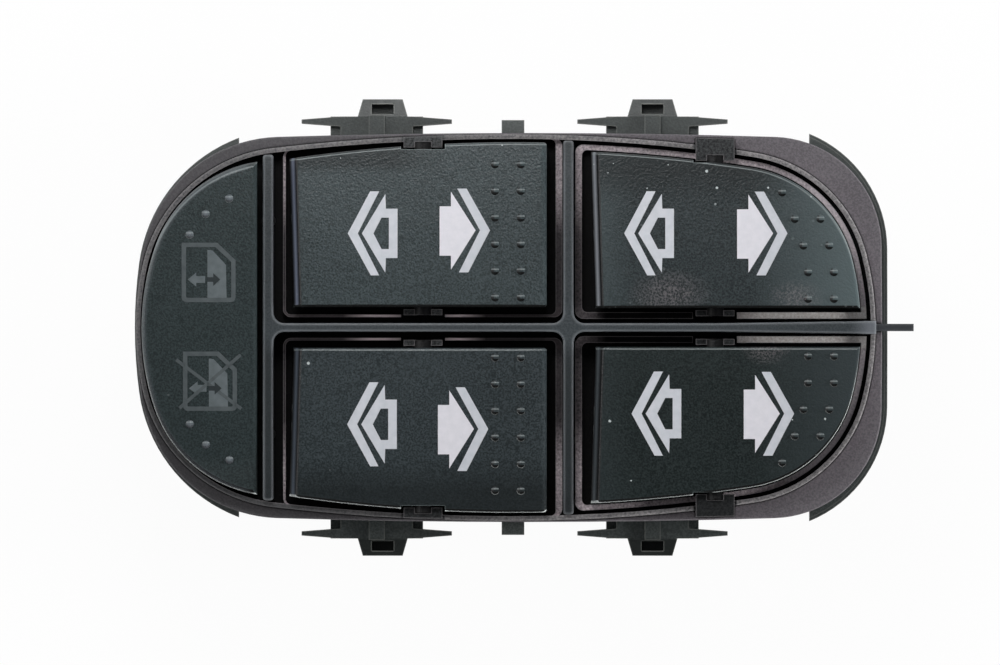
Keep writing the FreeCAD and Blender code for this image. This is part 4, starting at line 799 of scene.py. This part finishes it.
# %% Give every solid its finish
FINISHES = {
    "bezel": bezel_finish,
    "divider_frame": rib_finish,
    "carrier": carrier_finish,
    "contact_bridge": brass_finish,
    "centring_spring": steel_finish,
    "lockout_detent_spring": steel_finish,
    **MOULDED,
    **ROCKER_FINISHES,
}
for name, solid in nodes.items():
    kind = next(key for key in FINISHES if name.startswith(key))
    for slot in solid.material_slots:
        slot.material = FINISHES[kind]
print("finished solids:", len(nodes))

# %% [markdown]
# ## Printing on a curved face
# The signs are a thin layer on the bowed rocker faces. Each flat outline is cut into
# small faces, dropped straight down onto the rocker and lifted by a hair, so it follows
# the bow. It rides on its rocker and tilts with it.

# %% Print helpers
PRINT_LIFT = 0.00003
PRINT_EDGE = 0.0012
PRINT_CUTS = 5
DROP_HEIGHT = 0.2
SURFACES = {}


def surface_of(name):
    """Search tree over one solid, built once."""
    if name not in SURFACES:
        mesh = nodes[name].data
        mesh.calc_loop_triangles()
        SURFACES[name] = BVHTree.FromPolygons(
            [vertex.co for vertex in mesh.vertices],
            [tri.vertices for tri in mesh.loop_triangles],
        )
    return SURFACES[name]


def drop(name, x, y):
    """Height of a solid's top at a place."""
    hit = surface_of(name).ray_cast(Vector((x, y, DROP_HEIGHT)), Vector((0, 0, -1)))
    return hit[0].z


def cut_small(build):
    """Cut every long edge of the flat faces, a few times over."""
    for _ in range(PRINT_CUTS):
        long_edges = [edge for edge in build.edges if edge.calc_length() > PRINT_EDGE]
        if not long_edges:
            break
        bmesh.ops.subdivide_edges(build, edges=long_edges, cuts=1)
        bmesh.ops.triangulate(build, faces=build.faces[:])


def printed(name, node, body, outlines, material, lift=PRINT_LIFT):
    """Thin print of several flat outlines on the top of a solid."""
    build = bmesh.new()
    for outline in outlines:
        corners = [build.verts.new((x * MM, y * MM, 0)) for x, y in outline]
        build.faces.new(corners)
    bmesh.ops.triangulate(build, faces=build.faces[:])
    cut_small(build)
    for vertex in build.verts:
        vertex.co.z = drop(node, vertex.co.x, vertex.co.y) + lift
    bmesh.ops.recalc_face_normals(build, faces=build.faces[:])
    if build.faces[0].normal.z < 0:
        bmesh.ops.reverse_faces(build, faces=build.faces[:])
    mesh = bpy.data.meshes.new(name)
    build.to_mesh(mesh)
    build.free()
    piece = bpy.data.objects.new(name, mesh)
    bpy.context.scene.collection.objects.link(piece)
    piece.data.materials.append(material)
    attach(piece, body)


print("print cuts:", PRINT_CUTS)

# %% [markdown]
# ## The four pairs of arrows
# One arrow of each pair is open and one is solid. Both are a chevron outside a house
# shape. The outlines are in millimetres about the arrow's middle, drawn once, and moved
# to each rocker.

# %% Arrow shapes
PAINT_SCALE = 900.0
PAINT_RELIEF_SCALE = 1500.0
PAINT_RELIEF, PAINT_DEPTH = 0.2, 0.00005
PAINT_ROUGHNESS = 0.45


def print_paint(name, colour, shade):
    """Slightly uneven print."""
    finish = Finish(name)
    uneven = finish.ramp(finish.noise(PAINT_SCALE, 3.0), *NOISE_SPAN)
    finish.feed(finish.shader.inputs["Base Color"], finish.blend(uneven, shade, colour))
    finish.shader.inputs["Roughness"].default_value = PAINT_ROUGHNESS
    relief = finish.noise(PAINT_RELIEF_SCALE, 2.0)
    bump = finish.add("ShaderNodeBump", {"Height": relief, "Strength": PAINT_RELIEF,
                                         "Distance": PAINT_DEPTH})
    finish.feed(finish.shader.inputs["Normal"], bump.outputs["Normal"])
    return finish.material


arrow_paint = print_paint("arrow_print", tone(208, 210, 216), tone(196, 200, 206))
solid_paint = print_paint("arrow_fill", tone(228, 226, 232), tone(220, 219, 225))

OPEN_CHEVRON = [(-3.75, 0), (-0.4, 6.3), (0.95, 6.3), (-2.24, 0), (0.95, -6.3), (-0.3, -6.3)]
OPEN_HOUSE_TOP = [(-1.64, 0), (1.88, 5.9), (1.96, 3.7), (3.7, 3.7), (3.7, 2.35), (1.3, 2.35),
                  (0.1, 0)]
OPEN_HOUSE_BOTTOM = [(x, -y) for x, y in reversed(OPEN_HOUSE_TOP)]
OPEN_HOUSE_WALL = [(2.4, 2.35), (2.4, -2.35), (3.7, -2.35), (3.7, 2.35)]
SOLID_HOUSE = [(-3.75, 3.6), (-2.05, 3.6), (-2.05, 5.8), (1.65, 0), (-2.05, -5.9),
               (-2.05, -3.8), (-3.75, -3.8)]
SOLID_CHEVRON = [(-1.1, 6.25), (0.3, 6.25), (3.8, 0), (0.55, -6.3), (-0.85, -6.3), (2.3, 0)]

ROCKERS = {
    "front_left": ((-21.0, 14.1), (-7.25, 14.55)),
    "rear_left": ((-21.1, -14.5), (-7.5, -15.2)),
    "front_right": ((20.4, 14.1), (37.3, 14.1)),
    "rear_right": ((21.5, -12.9), (38.3, -12.9)),
}


def moved(outline, x, y):
    """Outline at another place."""
    return [(px + x, py + y) for px, py in outline]


for place_name, ((open_x, open_y), (solid_x, solid_y)) in ROCKERS.items():
    rocker, body = f"window_rocker_{place_name}", f"rocker_{place_name}"
    open_parts = [OPEN_CHEVRON, OPEN_HOUSE_TOP, OPEN_HOUSE_BOTTOM, OPEN_HOUSE_WALL]
    printed(f"open_arrow_{place_name}", rocker, body,
            [moved(part, open_x, open_y) for part in open_parts], arrow_paint)
    printed(f"solid_arrow_house_{place_name}", rocker, body,
            [moved(SOLID_HOUSE, solid_x, solid_y)], solid_paint)
    printed(f"solid_arrow_chevron_{place_name}", rocker, body,
            [moved(SOLID_CHEVRON, solid_x, solid_y)], arrow_paint)
print("arrows:", 2 * len(ROCKERS))

# %% [markdown]
# ## Two faint signs on the crescent
# The lockout rocker carries a small window pane with a double arrow, and the same pane
# crossed out. Both are printed in greys hardly lighter than the plastic. A pane is a
# frame around one outline: its corners are cut or rounded, so the frame is drawn as a
# strip between the outline and the same outline moved inwards.

# %% Lockout signs
PANE_LEFT, PANE_RIGHT = -4.04, 4.04
PANE_HEIGHT = 4.45
CUT_START, CUT_END = 1.30, 1.85
FRAME_LINE, CROSS_LINE = 0.66, 0.50
CORNER, SMALLEST_CORNER = 0.7, 0.15
CUT_SLOPE = 0.42
ARROW_LEVEL = -1.06


def pane_outline(inset):
    """Pane with a cut far right corner and rounded near corners, moved inwards."""
    left, right = PANE_LEFT + inset, PANE_RIGHT - inset
    top, bottom = PANE_HEIGHT - inset, -PANE_HEIGHT + inset
    radius = max(CORNER - inset, SMALLEST_CORNER)
    slope = inset * CUT_SLOPE
    points = []
    for centre_x, start in ((left + radius, 180), (right - radius, 270)):
        for step in range(4):
            angle = math.radians(start + 30 * step)
            points.append((centre_x + radius * math.cos(angle),
                           bottom + radius + radius * math.sin(angle)))
    points += [(right, CUT_END - slope), (CUT_START - slope, top), (left, top)]
    return points


def frame_strip(line):
    """Quads between the outline and its inner copy."""
    outer, inner = pane_outline(0.0), pane_outline(line)
    count = len(outer)
    return [[outer[i], outer[(i + 1) % count], inner[(i + 1) % count], inner[i]]
            for i in range(count)]


def bar(start, end, width):
    """Straight stroke from point to point."""
    along = Vector((end[0] - start[0], end[1] - start[1]))
    side = Vector((-along.y, along.x)).normalized() * (width / 2)
    return [(start[0] + side.x, start[1] + side.y), (start[0] - side.x, start[1] - side.y),
            (end[0] - side.x, end[1] - side.y), (end[0] + side.x, end[1] + side.y)]


def small_arrow(tip, base, tail, head_half, shaft_half, level):
    """Arrow along x, as a head and a shaft."""
    head = [(tip, level), (base, level + head_half), (base, level - head_half)]
    shaft = [(base, level + shaft_half), (base, level - shaft_half), (tail, level - shaft_half),
             (tail, level + shaft_half)]
    return [head, shaft]


def print_sign(name, outlines, x, y, paint, lift=PRINT_LIFT):
    """Print on the lockout rocker, at the place of a sign."""
    printed(name, "lockout_rocker", "rocker_lockout",
            [moved(outline, x, y) for outline in outlines], paint, lift)


GLASS = [(-0.18, 3.39), (0.57, 3.30), (2.60, 1.12), (2.69, -3.80), (-0.18, -3.80)]
CROSS_BARS = [bar((-5.05, 3.22), (4.67, -4.13), CROSS_LINE),
              bar((4.58, 3.96), (-4.60, -4.04), CROSS_LINE)]
LIGHT_ARROW = small_arrow(tip=-3.13, base=-1.86, tail=-0.52, head_half=1.05,
                          shaft_half=0.50, level=ARROW_LEVEL)
DARK_ARROW = small_arrow(tip=1.74, base=0.69, tail=-0.18, head_half=0.95,
                         shaft_half=0.35, level=ARROW_LEVEL)
PANE_LIFT, SHADE_LIFT = PRINT_LIFT * 1.6, PRINT_LIFT * 2
line_paint = print_paint("sign_line", tone(86, 93, 95), tone(74, 81, 83))
glass_paint = print_paint("sign_glass", tone(102, 110, 113), tone(90, 98, 100))
shade_paint = print_paint("sign_shade", tone(48, 54, 56), tone(42, 48, 50))
SIGNS = {"open": (-45.57, 8.24), "crossed": (-45.38, -8.05)}
for sign, (x, y) in SIGNS.items():
    strokes = frame_strip(FRAME_LINE)
    if sign == "crossed":
        strokes += CROSS_BARS
    print_sign(f"sign_pane_{sign}", strokes, x, y, line_paint, PANE_LIFT)
    print_sign(f"sign_glass_{sign}", [GLASS], x, y, glass_paint)
    print_sign(f"sign_arrow_{sign}", LIGHT_ARROW, x, y, glass_paint)
    print_sign(f"sign_shadow_arrow_{sign}", DARK_ARROW, x, y, shade_paint, SHADE_LIFT)
print("signs:", len(SIGNS))

# %% [markdown]
# ## Floor
# The switch was photographed on white. The floor is white to the camera and to anything
# glossy that mirrors it, and stays a plain pale surface for the light, so the switch
# keeps a faint shadow.

# %% Floor
FLOOR_SIZE = 6.0
FLOOR_SCALE = 6.0
FLOOR_PALE, FLOOR_WHITE = 0.98, 1.0
FLOOR_ROUGHNESS = 0.9
FLOOR_GLOW_SHARE = 0.95
GLOW_COLOUR = (1, 1, 1, 1)


def floor_paper():
    """Pale paper that is white to the camera and keeps a trace of shadow."""
    finish = Finish("studio_floor")
    paleness = finish.ramp(finish.noise(FLOOR_SCALE, 2.0), 0.0, 1.0, FLOOR_PALE, FLOOR_WHITE)
    paper = finish.add("ShaderNodeCombineColor", {"Red": paleness, "Green": paleness,
                                                  "Blue": paleness})
    finish.feed(finish.shader.inputs["Base Color"], paper.outputs["Color"])
    finish.shader.inputs["Roughness"].default_value = FLOOR_ROUGHNESS
    rays = finish.add("ShaderNodeLightPath")
    seen = finish.maths("MAXIMUM", rays.outputs["Is Camera Ray"], rays.outputs["Is Glossy Ray"])
    seen = finish.maths("MAXIMUM", seen, rays.outputs["Is Transmission Ray"])
    glow = finish.add("ShaderNodeEmission", {"Color": GLOW_COLOUR, "Strength": 1.0})
    mixed = finish.add("ShaderNodeMixShader")
    finish.feed(mixed.inputs[0], finish.both(seen, FLOOR_GLOW_SHARE))
    finish.feed(mixed.inputs[1], finish.shader.outputs["BSDF"])
    finish.feed(mixed.inputs[2], glow.outputs["Emission"])
    output = finish.tree.nodes["Material Output"]
    finish.feed(output.inputs["Surface"], mixed.outputs["Shader"])
    return finish.material


bpy.ops.mesh.primitive_plane_add(size=FLOOR_SIZE, location=(0, 0, 0))
floor = bpy.context.object
floor.name = "studio_floor"
floor.data.materials.append(floor_paper())
print("floor width:", FLOOR_SIZE)
